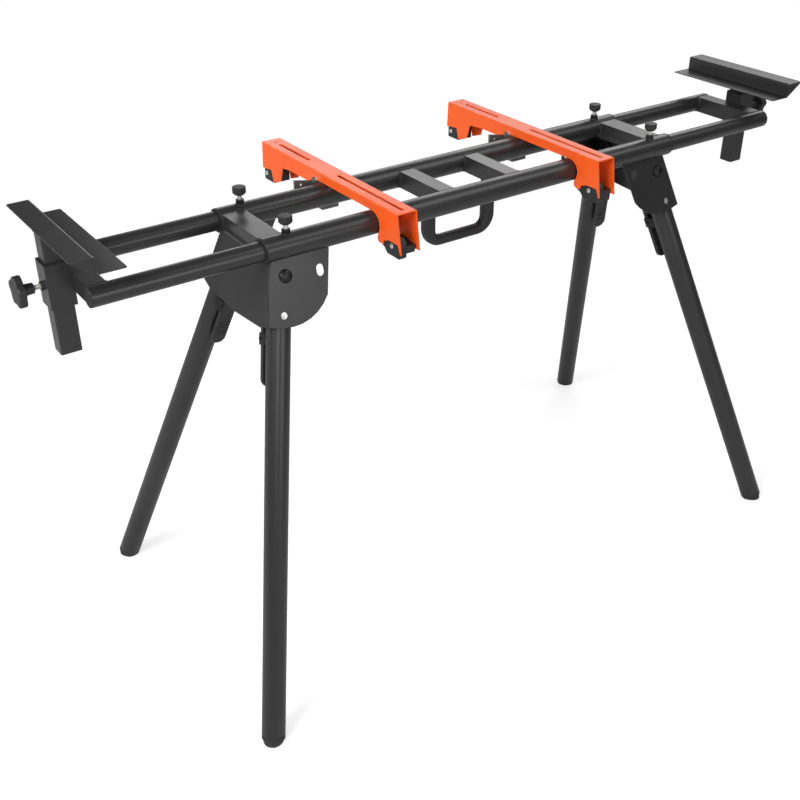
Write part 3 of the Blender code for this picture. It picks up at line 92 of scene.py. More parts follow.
# Shader nodes

def screen(red: float, green: float, blue: float) -> Colour:
    """Linear colour from the 0-255 values seen on a screen.

    Args:
        red: red value.
        green: green value.
        blue: blue value.

    Returns:
        The colour with full alpha.
    """
    linear = []
    for value in (red, green, blue):
        share = value / 255
        linear.append(share / 12.92 if share <= 0.04045 else ((share + 0.055) / 1.055) ** 2.4)
    return (linear[0], linear[1], linear[2], 1.0)


WHITE = screen(255, 255, 255)


class Term:
    """An output socket, on which arithmetic adds Math nodes."""

    def __init__(self, bench: "Bench", socket: bpy.types.NodeSocket) -> None:
        """Keep the socket and the bench on which its nodes are made.

        Args:
            bench: node tree under construction.
            socket: output socket that this term stands for.
        """
        self.bench = bench
        self.socket = socket

    def _math(self, operation: str, first: "Term | float", second: "Term | float") -> "Term":
        """One Math node of two values."""
        return self.bench.node("ShaderNodeMath", {"operation": operation}, {0: first, 1: second})

    def __add__(self, other: "Term | float") -> "Term":
        """Sum."""
        return self._math("ADD", self, other)

    def __radd__(self, other: float) -> "Term":
        """Sum with a number in front."""
        return self._math("ADD", other, self)

    def __sub__(self, other: "Term | float") -> "Term":
        """Difference."""
        return self._math("SUBTRACT", self, other)

    def __rsub__(self, other: float) -> "Term":
        """Difference from a number in front."""
        return self._math("SUBTRACT", other, self)

    def __mul__(self, other: "Term | float") -> "Term":
        """Product."""
        return self._math("MULTIPLY", self, other)

    def __rmul__(self, other: float) -> "Term":
        """Product with a number in front."""
        return self._math("MULTIPLY", other, self)

    def at_least(self, other: "Term | float") -> "Term":
        """The larger of two values."""
        return self._math("MAXIMUM", self, other)

    def between(self, low: float, high: float) -> "Term":
        """Smooth step from 0 at low to 1 at high.

        Args:
            low: value that becomes 0.
            high: value that becomes 1.

        Returns:
            The stepped term.
        """
        return self.bench.node("ShaderNodeMapRange", {"interpolation_type": "SMOOTHSTEP"},
                               {"Value": self, "From Min": low, "From Max": high})

    def beside(self, output: str) -> "Term":
        """Another output of the same node."""
        return Term(self.bench, self.socket.node.outputs[output])


class Bench:
    """A node tree of a material or a world, to which nodes are added."""

    def __init__(self, tree: bpy.types.NodeTree) -> None:
        """Empty a tree and take it over."""
        self.tree = tree
        self.tree.nodes.clear()

    def node(self, kind: str, settings: dict[str, object], inputs: dict[str | int, object],
             output: str | int = 0) -> Term:
        """Add one node.

        Args:
            kind: node type.
            settings: properties that are set before the sockets.
            inputs: values or terms by socket name or number.
            output: socket that is handed back.

        Returns:
            The chosen output as a term.
        """
        made = self._made(kind, settings, inputs)
        return Term(self, made.outputs[output])

    def close(self, kind: str, shader: Term) -> None:
        """Join a shader to an output node of the given type."""
        self._made(kind, {}, {"Surface": shader})

    def _made(self, kind: str, settings: dict[str, object], inputs: dict[str | int, object]) -> bpy.types.Node:
        """New node with its settings and sockets set."""
        made = self.tree.nodes.new(kind)
        for name, value in settings.items():
            setattr(made, name, value)
        for key, value in inputs.items():
            if isinstance(value, Term):
                self.tree.links.new(value.socket, made.inputs[key])
            else:
                made.inputs[key].default_value = value
        return made


class Recipe(Bench):
    """The nodes of one material, read in object coordinates."""

    def __init__(self, name: str) -> None:
        """Start an empty material.

        Args:
            name: the material's name.
        """
        self.material = bpy.data.materials.new(name)
        self.material.use_nodes = True
        super().__init__(self.material.node_tree)
        self.place = self.node("ShaderNodeTexCoord", {}, {}, "Object")

    def noise(self, scale: float, detail: float = 2.0, roughness: float = 0.5,
              stretch: Triple | None = None) -> Term:
        """Noise over the surface.

        Args:
            scale: patches per metre.
            detail: octaves of finer noise.
            roughness: strength of the finer noise.
            stretch: factors on the three axes, or None.

        Returns:
            A value near 0.5.
        """
        place = self.place
        if stretch is not None:
            place = self.node("ShaderNodeMapping", {}, {"Vector": self.place, "Scale": stretch})
        return self.node("ShaderNodeTexNoise", {}, {"Vector": place, "Scale": scale, "Detail": detail,
                                                    "Roughness": roughness})

    def height(self) -> Term:
        """Distance of the surface above the floor."""
        return self.node("ShaderNodeSeparateXYZ", {}, {"Vector": self.place}, "Z")

    def worn_edge(self) -> Term:
        """1 on rounded edges and 0 elsewhere."""
        return self.node("ShaderNodeAttribute", {"attribute_name": WEAR}, {}, "Fac")

    def blend(self, share: "Term | float", first: "Term | Colour", second: "Term | Colour") -> Term:
        """Mix two colours.

        Args:
            share: share of the second colour.
            first: first colour.
            second: second colour.

        Returns:
            The mixed colour.
        """
        inputs = dict(zip(MIX_INPUTS, (share, first, second)))
        return self.node("ShaderNodeMix", {"data_type": "RGBA"}, inputs, MIX_OUTPUT)

    def bump(self, relief: Term, distance: float, strength: float) -> Term:
        """Surface normal over a relief.

        Args:
            relief: height of the relief, from 0 to 1.
            distance: real height of a value of 1.
            strength: share of the effect.

        Returns:
            The normal.
        """
        return self.node("ShaderNodeBump", {}, {"Height": relief, "Distance": distance, "Strength": strength})

    def surface(self, **sockets: object) -> bpy.types.Material:
        """Close the material with a Principled shader.

        Args:
            **sockets: values or terms, named as the shader's sockets with underscores for spaces.

        Returns:
            The finished material.
        """
        named = {key.replace("_", " "): value for key, value in sockets.items()}
        self.close("ShaderNodeOutputMaterial", self.node("ShaderNodeBsdfPrincipled", {}, named))
        return self.material


# Finishes

@dataclass(frozen=True)
class PowderCoat:
    """Baked powder paint on steel: orange peel, faint clouds, and paler rubbed edges."""
    name: str
    slot: Slot
    colour: Triple
    cloud: Triple
    rubbed: Triple
    roughness: float
    coat: float
    specular: float = 0.5
    coat_roughness: float = 0.18
    cloud_scale: float = 7.0
    cloud_range: Pair = (0.35, 0.7)
    cloud_gloss: float = 0.16
    speck_scale: float = 900.0
    speck_height: float = 0.25
    speck_gloss: float = 0.1
    scuff_scale: float = 60.0
    scuff_range: Pair = (0.42, 0.66)
    wear_share: float = 0.65
    wear_gloss: float = 0.08
    peel_scale: float = 520.0
    peel_height: float = 0.00012
    ripple_scale: float = 0.0
    ripple_height: float = 3.0
    relief: float = 0.55

    def make(self) -> bpy.types.Material:
        """Build the material."""
        recipe = Recipe(self.name)
        cloud = recipe.noise(self.cloud_scale, detail=3.0)
        speck = recipe.noise(self.speck_scale, detail=1.0)
        scuff = recipe.noise(self.scuff_scale, detail=6.0, roughness=0.68)
        relief = recipe.noise(self.peel_scale, roughness=0.45) + speck * self.speck_height
        if self.ripple_scale:
            relief = relief + recipe.noise(self.ripple_scale, detail=1.0) * self.ripple_height
        worn = recipe.worn_edge() * scuff.between(*self.scuff_range)
        paint = recipe.blend(cloud.between(*self.cloud_range), screen(*self.colour), screen(*self.cloud))
        return recipe.surface(
            Base_Color=recipe.blend(worn * self.wear_share, paint, screen(*self.rubbed)),
            Roughness=self.roughness + (cloud - NOISE_MIDDLE) * self.cloud_gloss
            + (speck - NOISE_MIDDLE) * self.speck_gloss + worn * self.wear_gloss,
            Specular_IOR_Level=self.specular,
            Coat_Weight=self.coat,
            Coat_Roughness=self.coat_roughness,
            Normal=recipe.bump(relief, self.peel_height, self.relief),
        )


@dataclass(frozen=True)
class MouldedPlastic:
    """Moulded black plastic: spark-eroded grain, flow clouds, and dust where it meets the floor."""
    name: str
    slot: Slot
    colour: Triple
    rubbed: Triple
    roughness: float
    grain_scale: float = 1100.0
    grain_gloss: float = 0.12
    grain_height: float = 0.0001
    flow_scale: float = 22.0
    flow_stretch: Triple = (1.0, 1.0, 0.3)
    flow_range: Pair = (0.45, 0.8)
    flow_share: float = 0.12
    flow_gloss: float = 0.14
    scuff_scale: float = 110.0
    scuff_range: Pair = (0.4, 0.7)
    wear_share: float = 0.5
    dust_height: float = 0.0
    dust_range: Pair = (0.35, 0.6)
    dust_share: float = 0.45
    relief: float = 0.5

    def make(self) -> bpy.types.Material:
        """Build the material."""
        recipe = Recipe(self.name)
        grain = recipe.noise(self.grain_scale, roughness=0.6)
        flow = recipe.noise(self.flow_scale, stretch=self.flow_stretch)
        scuff = recipe.noise(self.scuff_scale, detail=5.0, roughness=0.7)
        worn = recipe.worn_edge() * scuff.between(*self.scuff_range)
        share = worn * self.wear_share + flow.between(*self.flow_range) * self.flow_share
        if self.dust_height:
            low = 1.0 - recipe.height().between(0.0, self.dust_height)
            share = share + low * scuff.between(*self.dust_range) * self.dust_share
        return recipe.surface(
            Base_Color=recipe.blend(share, screen(*self.colour), screen(*self.rubbed)),
            Roughness=self.roughness + (flow - NOISE_MIDDLE) * self.flow_gloss
            + (grain - NOISE_MIDDLE) * self.grain_gloss,
            Normal=recipe.bump(grain, self.grain_height, self.relief),
        )


@dataclass(frozen=True)
class Metal:
    """Bare, plated or blackened steel with fine draw lines and handling marks."""
    name: str
    slot: Slot
    colour: Triple
    stain: Triple
    roughness: float
    metallic: float = 1.0
    line_scale: float = 600.0
    line_stretch: Triple = (0.2, 1.0, 1.0)
    line_gloss: float = 0.12
    line_height: float = 0.00005
    stain_scale: float = 130.0
    stain_range: Pair = (0.4, 0.75)
    stain_gloss: float = 0.2
    worn_range: Pair = (0.35, 0.6)
    relief: float = 0.4

    def make(self) -> bpy.types.Material:
        """Build the material."""
        recipe = Recipe(self.name)
        lines = recipe.noise(self.line_scale, roughness=0.6, stretch=self.line_stretch)
        stain = recipe.noise(self.stain_scale, detail=4.0, roughness=0.6)
        kept = 1.0 - recipe.worn_edge() * stain.between(*self.worn_range)
        share = stain.between(*self.stain_range) * kept
        return recipe.surface(
            Base_Color=recipe.blend(share, screen(*self.colour), screen(*self.stain)),
            Metallic=self.metallic,
            Roughness=self.roughness + (stain - NOISE_MIDDLE) * self.stain_gloss
            + (lines - NOISE_MIDDLE) * self.line_gloss,
            Normal=recipe.bump(lines, self.line_height, self.relief),
        )


class Finish(Enum):
    """The finishes of the stand."""
    DARK = PowderCoat("graphite_powder_coat", Slot.DARK_PAINT, colour=(41, 41, 42), cloud=(35, 35, 36),
                      rubbed=(68, 68, 68), roughness=0.35, coat=0.15)
    WELD = PowderCoat("painted_weld", Slot.DARK_PAINT, colour=(38, 38, 39), cloud=(33, 33, 34),
                      rubbed=(60, 60, 60), roughness=0.44, coat=0.1, peel_scale=420.0, peel_height=0.0003,
                      ripple_scale=260.0)
    ORANGE = PowderCoat("orange_powder_coat", Slot.ORANGE_PAINT, colour=(254, 101, 34), cloud=(250, 94, 29),
                        rubbed=(255, 140, 88), roughness=0.38, coat=0.06, specular=0.4)
    PLASTIC = MouldedPlastic("black_moulded_plastic", Slot.BLACK_PLASTIC, colour=(34, 34, 36),
                             rubbed=(92, 92, 94), roughness=0.5)
    LINER = MouldedPlastic("liner_plastic", Slot.BLACK_PLASTIC, colour=(17, 17, 18), rubbed=(60, 60, 62),
                           roughness=0.62)
    FOOT = MouldedPlastic("foot_plastic", Slot.BLACK_PLASTIC, colour=(36, 36, 37), rubbed=(128, 124, 118),
                          roughness=0.6, dust_height=0.006)
    OXIDE = Metal("black_oxide_steel", Slot.BLACK_STEEL, colour=(62, 62, 64), stain=(40, 38, 37),
                  roughness=0.42)
    HOOK = Metal("dull_hook_steel", Slot.BLACK_STEEL, colour=(116, 116, 116), stain=(90, 90, 89),
                 roughness=0.45, metallic=0.4)
    ZINC = Metal("bright_zinc_steel", Slot.BRIGHT_STEEL, colour=(232, 231, 226), stain=(186, 183, 176),
                 roughness=0.3, metallic=0.65)

    def material(self) -> bpy.types.Material:
        """The finish's material, made once."""
        return bpy.data.materials.get(self.value.name) or self.value.make()


# Mesh work

def turned_frame(origin: Vector, axis: Vector, side: Vector) -> Matrix:
    """Place whose Z lies along an axis.

    Args:
        origin: the place's origin.
        axis: direction of Z.
        side: direction towards which X points.

    Returns:
        The place as a matrix.
    """
    z = axis.normalized()
    x = (side - side.dot(z) * z).normalized()
    place = Matrix((x, z.cross(x), z)).transposed().to_4x4()
    place.translation = origin
    return place


class Shape:
    """A bmesh that is shaped by operators and then becomes a piece."""

    def __init__(self) -> None:
        """Start with an empty mesh that has the edge attribute."""
        self.bm = bmesh.new()
        self.bm.faces.layers.float.new(WEAR)

    @classmethod
    def turned(cls, profile: Profile, steps: int = TURN_STEPS, ring: bool = False) -> "Shape":
        """Body turned about Z.

        Args:
            profile: radius and height of each corner.
            steps: steps of the full turn.
            ring: whether the profile closes on itself.

        Returns:
            The turned shape.
        """
        shape = cls()
        corners = [shape.bm.verts.new((radius, 0, height)) for radius, height in profile]
        followers = corners[1:] + corners[:1] if ring else corners[1:]
        for pair in zip(corners, followers):
            shape.bm.edges.new(pair)
        return shape.spin(math.tau, steps)

    @classmethod
    def section(cls, radius: float, reach: float, segments: int, capped: bool = True) -> "Shape":
        """Round section in the plane of X and Z, beside the Z axis.

        Args:
            radius: the section's radius.
            reach: distance of its middle from the Z axis.
            segments: number of its corners.
            capped: whether it is a face, or else a bare ring.

        Returns:
            The section.
        """
        shape = cls()
        ring = bmesh.ops.create_circle(shape.bm, cap_ends=capped, radius=radius, segments=segments)["verts"]
        bmesh.ops.rotate(shape.bm, cent=ORIGIN, matrix=Matrix.Rotation(math.pi / 2, 3, "X"), verts=ring)
        return shape.move(X_AXIS * reach)

    @classmethod
    def plate(cls, outline: Profile, thickness: float, rounds: Sequence[float] = (), steps: int = 6) -> "Shape":
        """Flat outline in X and Y, with its thickness to both sides.

        Args:
            outline: corners in order.
            thickness: size along Z.
            rounds: radius of each square corner, 0 where it stays sharp.
            steps: segments of a rounded corner.

        Returns:
            The plate.
        """
        shape = cls()
        points = [shape.bm.verts.new((x, y, -thickness / 2)) for x, y in outline]
        shape.bm.faces.new(points)
        for point, radius in zip(points, rounds):
            if radius:
                bmesh.ops.bevel(shape.bm, geom=[point], offset=radius, segments=steps, profile=0.5,
                                affect="VERTICES", material=-1, clamp_overlap=False)
        return shape.raised(thickness)

    @classmethod
    def rounded_block(cls, size: Triple, rounds: Sequence[float], steps: int = 6) -> "Shape":
        """Block about the origin with rounded upright corners.

        Args:
            size: sizes along X, Y and Z.
            rounds: radii of the corners at -X-Y, +X-Y, +X+Y and -X+Y.
            steps: segments of a rounded corner.

        Returns:
            The block.
        """
        x, y = size[0] / 2, size[1] / 2
        return cls.plate([(-x, -y), (x, -y), (x, y), (-x, y)], size[2], rounds, steps)

    @classmethod
    def copy_of(cls, node: str) -> "Shape":
        """Merged copy of a CAD node, with its flat faces joined.

        Args:
            node: the node's name.

        Returns:
            The copy.
        """
        shape = cls()
        shape.bm.from_mesh(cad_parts[node].data)
        bmesh.ops.remove_doubles(shape.bm, verts=shape.bm.verts, dist=MERGE)
        bmesh.ops.dissolve_limit(shape.bm, angle_limit=FLAT_ANGLE, verts=shape.bm.verts, edges=shape.bm.edges)
        if WEAR not in shape.bm.faces.layers.float:
            shape.bm.faces.layers.float.new(WEAR)
        return shape

    def everything(self) -> list[bmesh.types.BMVert | bmesh.types.BMEdge | bmesh.types.BMFace]:
        """All parts of the mesh."""
        return self.bm.verts[:] + self.bm.edges[:] + self.bm.faces[:]

    def spin(self, angle: float, steps: int, centre: Vector = ORIGIN, axis: Vector = Z_AXIS,
             climb: float = 0.0) -> "Shape":
        """Spin the whole mesh round an axis.

        Args:
            angle: angle of the sweep.
            steps: number of its steps.
            centre: a point on the axis.
            axis: the axis.
            climb: distance along the axis in one step.

        Returns:
            This shape.
        """
        bmesh.ops.spin(self.bm, geom=self.everything(), cent=centre, axis=axis, dvec=axis * climb, angle=angle,
                       steps=steps, use_merge=angle == math.tau)
        return self.closed()

    def raised(self, height: float) -> "Shape":
        """Extrude the mesh's one face along Z and close the body."""
        made = bmesh.ops.extrude_face_region(self.bm, geom=self.bm.faces[:])["geom"]
        moved = [item for item in made if isinstance(item, bmesh.types.BMVert)]
        bmesh.ops.translate(self.bm, vec=(0, 0, height), verts=moved)
        return self.closed()

    def closed(self) -> "Shape":
        """Merge doubles and turn the faces outwards."""
        bmesh.ops.remove_doubles(self.bm, verts=self.bm.verts, dist=MERGE)
        bmesh.ops.recalc_face_normals(self.bm, faces=self.bm.faces)
        return self

    def soften(self, width: float, segments: int = 2, only: Callable[[Vector], bool] | None = None,
               wear: float = 1.0) -> "Shape":
        """Round the sharp edges.

        Args:
            width: width of the rounding on each face.
            segments: steps of the rounding.
            only: test of an edge's middle, or None for all.
            wear: value of the edge attribute on the new faces.

        Returns:
            This shape.
        """
        edges = []
        for edge in self.bm.edges:
            if len(edge.link_faces) != 2 or edge.calc_face_angle() < EDGE_ANGLE:
                continue
            if only is None or only((edge.verts[0].co + edge.verts[1].co) / 2):
                edges.append(edge)
        made = bmesh.ops.bevel(self.bm, geom=edges, offset=width, segments=segments, profile=0.5,
                               affect="EDGES", clamp_overlap=True, material=-1)
        layer = self.bm.faces.layers.float[WEAR]
        for face in made["faces"]:
            face[layer] = wear
        return self

    def move(self, step: Vector) -> "Shape":
        """Move the whole shape."""
        bmesh.ops.translate(self.bm, vec=step, verts=self.bm.verts)
        return self

    def put(self, place: Matrix) -> "Shape":
        """Move the whole shape to a place."""
        bmesh.ops.transform(self.bm, matrix=place, verts=self.bm.verts)
        return self

    def above(self, height: float) -> "Shape":
        """Cut away what lies under a height and close the cut.

        Args:
            height: world height of the cut.

        Returns:
            This shape.
        """
        made = bmesh.ops.bisect_plane(self.bm, geom=self.everything(), dist=MERGE, plane_co=(0, 0, height),
                                      plane_no=Z_AXIS, clear_inner=True)["geom_cut"]
        cut = [edge for edge in made if isinstance(edge, bmesh.types.BMEdge)]
        bmesh.ops.holes_fill(self.bm, edges=cut, sides=0)
        return self.closed()

    def join(self, *others: "Shape") -> "Shape":
        """Take other shapes into this one.

        Args:
            *others: shapes that are used up.

        Returns:
            This shape.
        """
        for other in others:
            mesh = bpy.data.meshes.new("joined")
            other.bm.to_mesh(mesh)
            other.bm.free()
            self.bm.from_mesh(mesh)
            bpy.data.meshes.remove(mesh)
        return self

    def piece(self, name: str, finish: Finish, body: str, *nodes: str) -> bpy.types.Object:
        """Make the shape a piece of the stand.

        Args:
            name: the piece's name.
            finish: its finish.
            body: CAD body on which it rides.
            *nodes: CAD nodes for which it stands.

        Returns:
            The new object.
        """
        mesh = bpy.data.meshes.new(name)
        self.bm.to_mesh(mesh)
        self.bm.free()
        mesh.materials.clear()
        mesh.materials.append(finish.material())
        mesh.shade_smooth()
        mesh.set_sharp_from_angle(angle=SMOOTH_ANGLE)
        item = bpy.data.objects.new(name, mesh)
        bpy.context.scene.collection.objects.link(item)
        flats = item.modifiers.new("flat_faces", "WEIGHTED_NORMAL")
        flats.keep_sharp = True
        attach(item, body)
        if nodes:
            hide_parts(*nodes)
        LOG.info("%s rides on %s", name, body)
        return item


def bead_along(start: Vector, end: Vector, radius: float) -> Shape:
    """Straight weld bead with round ends.

    Args:
        start: first end.
        end: other end.
        radius: the bead's radius.

    Returns:
        The bead.
    """
    length = (end - start).length
    shape = Shape.turned([(0, 0), (radius, radius), (radius, length - radius), (0, length)], BEAD_SIDES)
    return shape.put(turned_frame(start, end - start, ASKEW))


def bead_around(centre: Vector, axis: Vector, reach: float, start_deg: float, turn_deg: float,
                radius: float) -> Shape:
    """Weld bead along an arc.

    Args:
        centre: middle of the arc.
        axis: the arc's axis.
        reach: radius of the arc.
        start_deg: first angle, from world Z towards axis cross Z.
        turn_deg: angle that the bead covers.
        radius: the bead's own radius.

    Returns:
        The bead.
    """
    shape = Shape()
    ring = bmesh.ops.create_circle(shape.bm, cap_ends=True, radius=radius, segments=BEAD_STEPS)["verts"]
    shape.put(turned_frame(centre + Z_AXIS * reach, axis.cross(Z_AXIS), axis))
    start = Matrix.Rotation(math.radians(start_deg), 3, axis)
    bmesh.ops.rotate(shape.bm, cent=centre, matrix=start, verts=ring)
    return shape.spin(math.radians(turn_deg), BEAD_STEPS, centre, axis)


# Sub-assemblies

@dataclass
class Rails:
    """The two main tubes with their end bushes and the threaded bosses for the lock knobs."""
    height: float = 0.765
    spread: float = 0.0756
    radius: float = 0.020
    wall: float = 0.002
    end: float = 0.440
    flange: float = 0.003
    stem: float = 0.025
    bore: float = 0.0163
    bush_edge: float = 0.0008
    boss_x: float = 0.394
    boss_radius: float = 0.007
    boss_bore: float = 0.0033
    boss_top: float = 0.792
    boss_edge: float = 0.0006
    bead: float = 0.0009
    bead_sink: float = 0.0006
    bead_sides: int = 8

    def build(self) -> None:
        """Build both rows."""
        for row, y_sign in ROWS:
            self.tube(row, y_sign)
            self.bosses(row, y_sign)
            for side, x_sign in SIDES:
                self.bush(row, side, x_sign, y_sign)

    def tube(self, row: str, y_sign: int) -> None:
        """One main tube, open at both ends.

        Args:
            row: near or far.
            y_sign: side of the stand's middle.
        """
        half = self.end - self.flange
        inner = self.radius - self.wall
        outline = [(self.radius, -half), (self.radius, half), (inner, half), (inner, -half)]
        shape = Shape.turned(outline, ring=True)
        shape.soften(CUT_EDGE, 1)
        shape.put(turned_frame(Vector((0, y_sign * self.spread, self.height)), X_AXIS, Z_AXIS))
        shape.piece(f"rail_{row}", Finish.DARK, "frame", f"main_tube_{row}")

    def bosses(self, row: str, y_sign: int) -> None:
        """Threaded bosses with the weld round their feet.

        Args:
            row: near or far.
            y_sign: side of the stand's middle.
        """
        crown = self.height + self.radius
        foot = crown - self.wall
        outer, inner, top = self.boss_radius, self.boss_bore, self.boss_top
        outline = [(outer, foot), (outer, top), (inner, top), (inner, foot)]
        bosses = Shape()
        welds = Shape()
        for _, x_sign in SIDES:
            place = Vector((x_sign * self.boss_x, y_sign * self.spread, 0))
            boss = Shape.turned(outline, PIN_STEPS, ring=True)
            bosses.join(boss.soften(self.boss_edge).move(place))
            welds.join(self.saddle_bead(crown).move(place))
        bosses.piece(f"knob_bosses_{row}", Finish.OXIDE, "frame")
        welds.piece(f"boss_welds_{row}", Finish.WELD, "frame")

    def saddle_bead(self, crown: float) -> Shape:
        """Ring of weld that follows the tube's round under a boss.

        Args:
            crown: height of the tube's top.

        Returns:
            The ring, over the world's Z axis.
        """
        reach = self.boss_radius + self.bead - self.bead_sink
        shape = Shape.section(self.bead, reach, self.bead_sides, capped=False)
        shape.spin(math.tau, PIN_STEPS)
        for point in shape.bm.verts:
            across = min(abs(point.co.y), self.radius)
            point.co.z += crown - self.radius + math.sqrt(self.radius ** 2 - across ** 2)
        return shape.closed()

    def bush(self, row: str, side: str, x_sign: int, y_sign: int) -> None:
        """Plastic guide with its flange over the tube's cut edge.

        Args:
            row: near or far.
            side: left or right.
            x_sign: side along the rails.
            y_sign: side of the stand's middle.
        """
        lip = self.flange - GAP
        stem = self.radius - self.wall - GAP
        shape = Shape.turned([(self.radius, 0), (self.bore, 0), (self.bore, -self.stem), (stem, -self.stem),
                              (stem, -lip), (self.radius, -lip)], ring=True)
        shape.soften(self.bush_edge, 3, wear=0.3)
        place = Vector((x_sign * self.end, y_sign * self.spread, self.height))
        shape.put(turned_frame(place, X_AXIS * x_sign, Z_AXIS))
        shape.piece(f"bush_{row}_{side}", Finish.LINER, "frame", f"tube_bush_{row}_{side}")


@dataclass
class CrossFrame:
    """Cross channels, middle crossbars, leg brackets and carry handle, with the welds that hold them."""
    rails: Rails
    bar_x: float = 0.072
    bar_side: float = 0.030
    bar_edge: float = 0.0011
    bracket_edge: float = 0.0004
    channel_inner: float = 0.395
    channel_outer: float = 0.436
    channel_bend: float = 0.0018
    bead: float = 0.0016
    grip_outer: float = 0.079
    grip_inner: float = 0.054
    grip_foot: float = 0.7497
    grip_top: float = 0.670
    grip_bottom: float = 0.6515
    grip_depth: float = 0.020
    grip_outer_round: float = 0.036
    grip_inner_round: float = 0.013
    grip_edge: float = 0.0075

    def build(self) -> None:
        """Build every piece of the cross frame."""
        for side, x_sign in SIDES:
            self.channel(side)
            bar = Shape.copy_of(f"crossbar_{side}").soften(self.bar_edge, 3)
            bar.piece(f"middle_bar_{side}", Finish.DARK, "frame", f"crossbar_{side}")
            bracket = Shape.copy_of(f"leg_bracket_{side}").soften(self.bracket_edge, 2)
            bracket.piece(f"bracket_{side}", Finish.DARK, "frame", f"leg_bracket_{side}")
            self.welds(side, x_sign)
        self.handle()

    def channel(self, side: str) -> None:
        """Inverted channel over a leg bracket, with rolled top edges.

        Args:
            side: left or right.
        """
        top = self.rails.height + self.bar_side / 2
        shape = Shape.copy_of(f"cross_channel_{side}")
        shape.soften(self.channel_bend, 4, lambda middle: middle.z > top - MERGE and self.on_side(middle.x))
        shape.soften(CUT_EDGE, 1, lambda middle: middle.z < top - self.channel_bend * PAST_BEND)
        shape.piece(f"end_channel_{side}", Finish.DARK, "frame", f"cross_channel_{side}")

    def on_side(self, x: float) -> bool:
        """Whether a place along the rails is at a channel's outer face."""
        return min(abs(abs(x) - face) for face in (self.channel_inner, self.channel_outer)) < ON_FACE

    def welds(self, side: str, x_sign: int) -> None:
        """Beads where the bars and channels meet the rails.

        Args:
            side: left or right.
            x_sign: side along the rails.
        """
        beads = Shape()
        half = self.bar_side / 2
        spans = ((self.bar_x - half, self.bar_x + half), (self.channel_inner, self.channel_outer))
        for _, y_sign in ROWS:
            for low, high in spans:
                beads.join(*cross_welds(self.rails, x_sign * low, x_sign * high, y_sign,
                                        self.rails.radius, half, self.bead))
        beads.piece(f"frame_welds_{side}", Finish.WELD, "frame")

    def handle(self) -> None:
        """Moulded grip: a rounded U between the middle crossbars."""
        outer, inner, foot = self.grip_outer, self.grip_inner, self.grip_foot
        outline = [(-outer, foot), (-outer, self.grip_bottom), (outer, self.grip_bottom), (outer, foot),
                   (inner, foot), (inner, self.grip_top), (-inner, self.grip_top), (-inner, foot)]
        large, small = self.grip_outer_round, self.grip_inner_round
        shape = Shape.plate(outline, self.grip_depth, (0, large, large, 0, 0, small, small, 0), steps=14)
        shape.put(turned_frame(ORIGIN, -Y_AXIS, X_AXIS))
        shape.soften(self.grip_edge, 5, lambda middle: middle.z < foot - MERGE, wear=0.3)
        shape.piece("handle", Finish.PLASTIC, "frame", "carry_handle")


def cross_welds(rails: Rails, start: float, end: float, y_sign: int, radius: float, half: float,
                bead: float) -> list[Shape]:
    """Beads round one end of a bar that meets a tube.

    Args:
        rails: height and spread of the tubes.
        start: one side of the bar, along the rails.
        end: its other side.
        y_sign: row of the tube.
        radius: the tube's radius.
        half: half of the bar's height.
        bead: the beads' radius.

    Returns:
        The beads at the top, at the bottom and on both sides.
    """
    reach = math.sqrt(radius ** 2 - half ** 2)
    spread = math.degrees(math.asin(half / radius))
    y = y_sign * (rails.spread - reach)
    centre = Vector((0, y_sign * rails.spread, rails.height))
    made = [bead_along(Vector((start, y, rails.height + z)), Vector((end, y, rails.height + z)), bead)
            for z in (half, -half)]
    for x in (start, end):
        first = 90 * y_sign - spread
        made.append(bead_around(centre + X_AXIS * x, X_AXIS, radius, first, 2 * spread, bead))
    return made


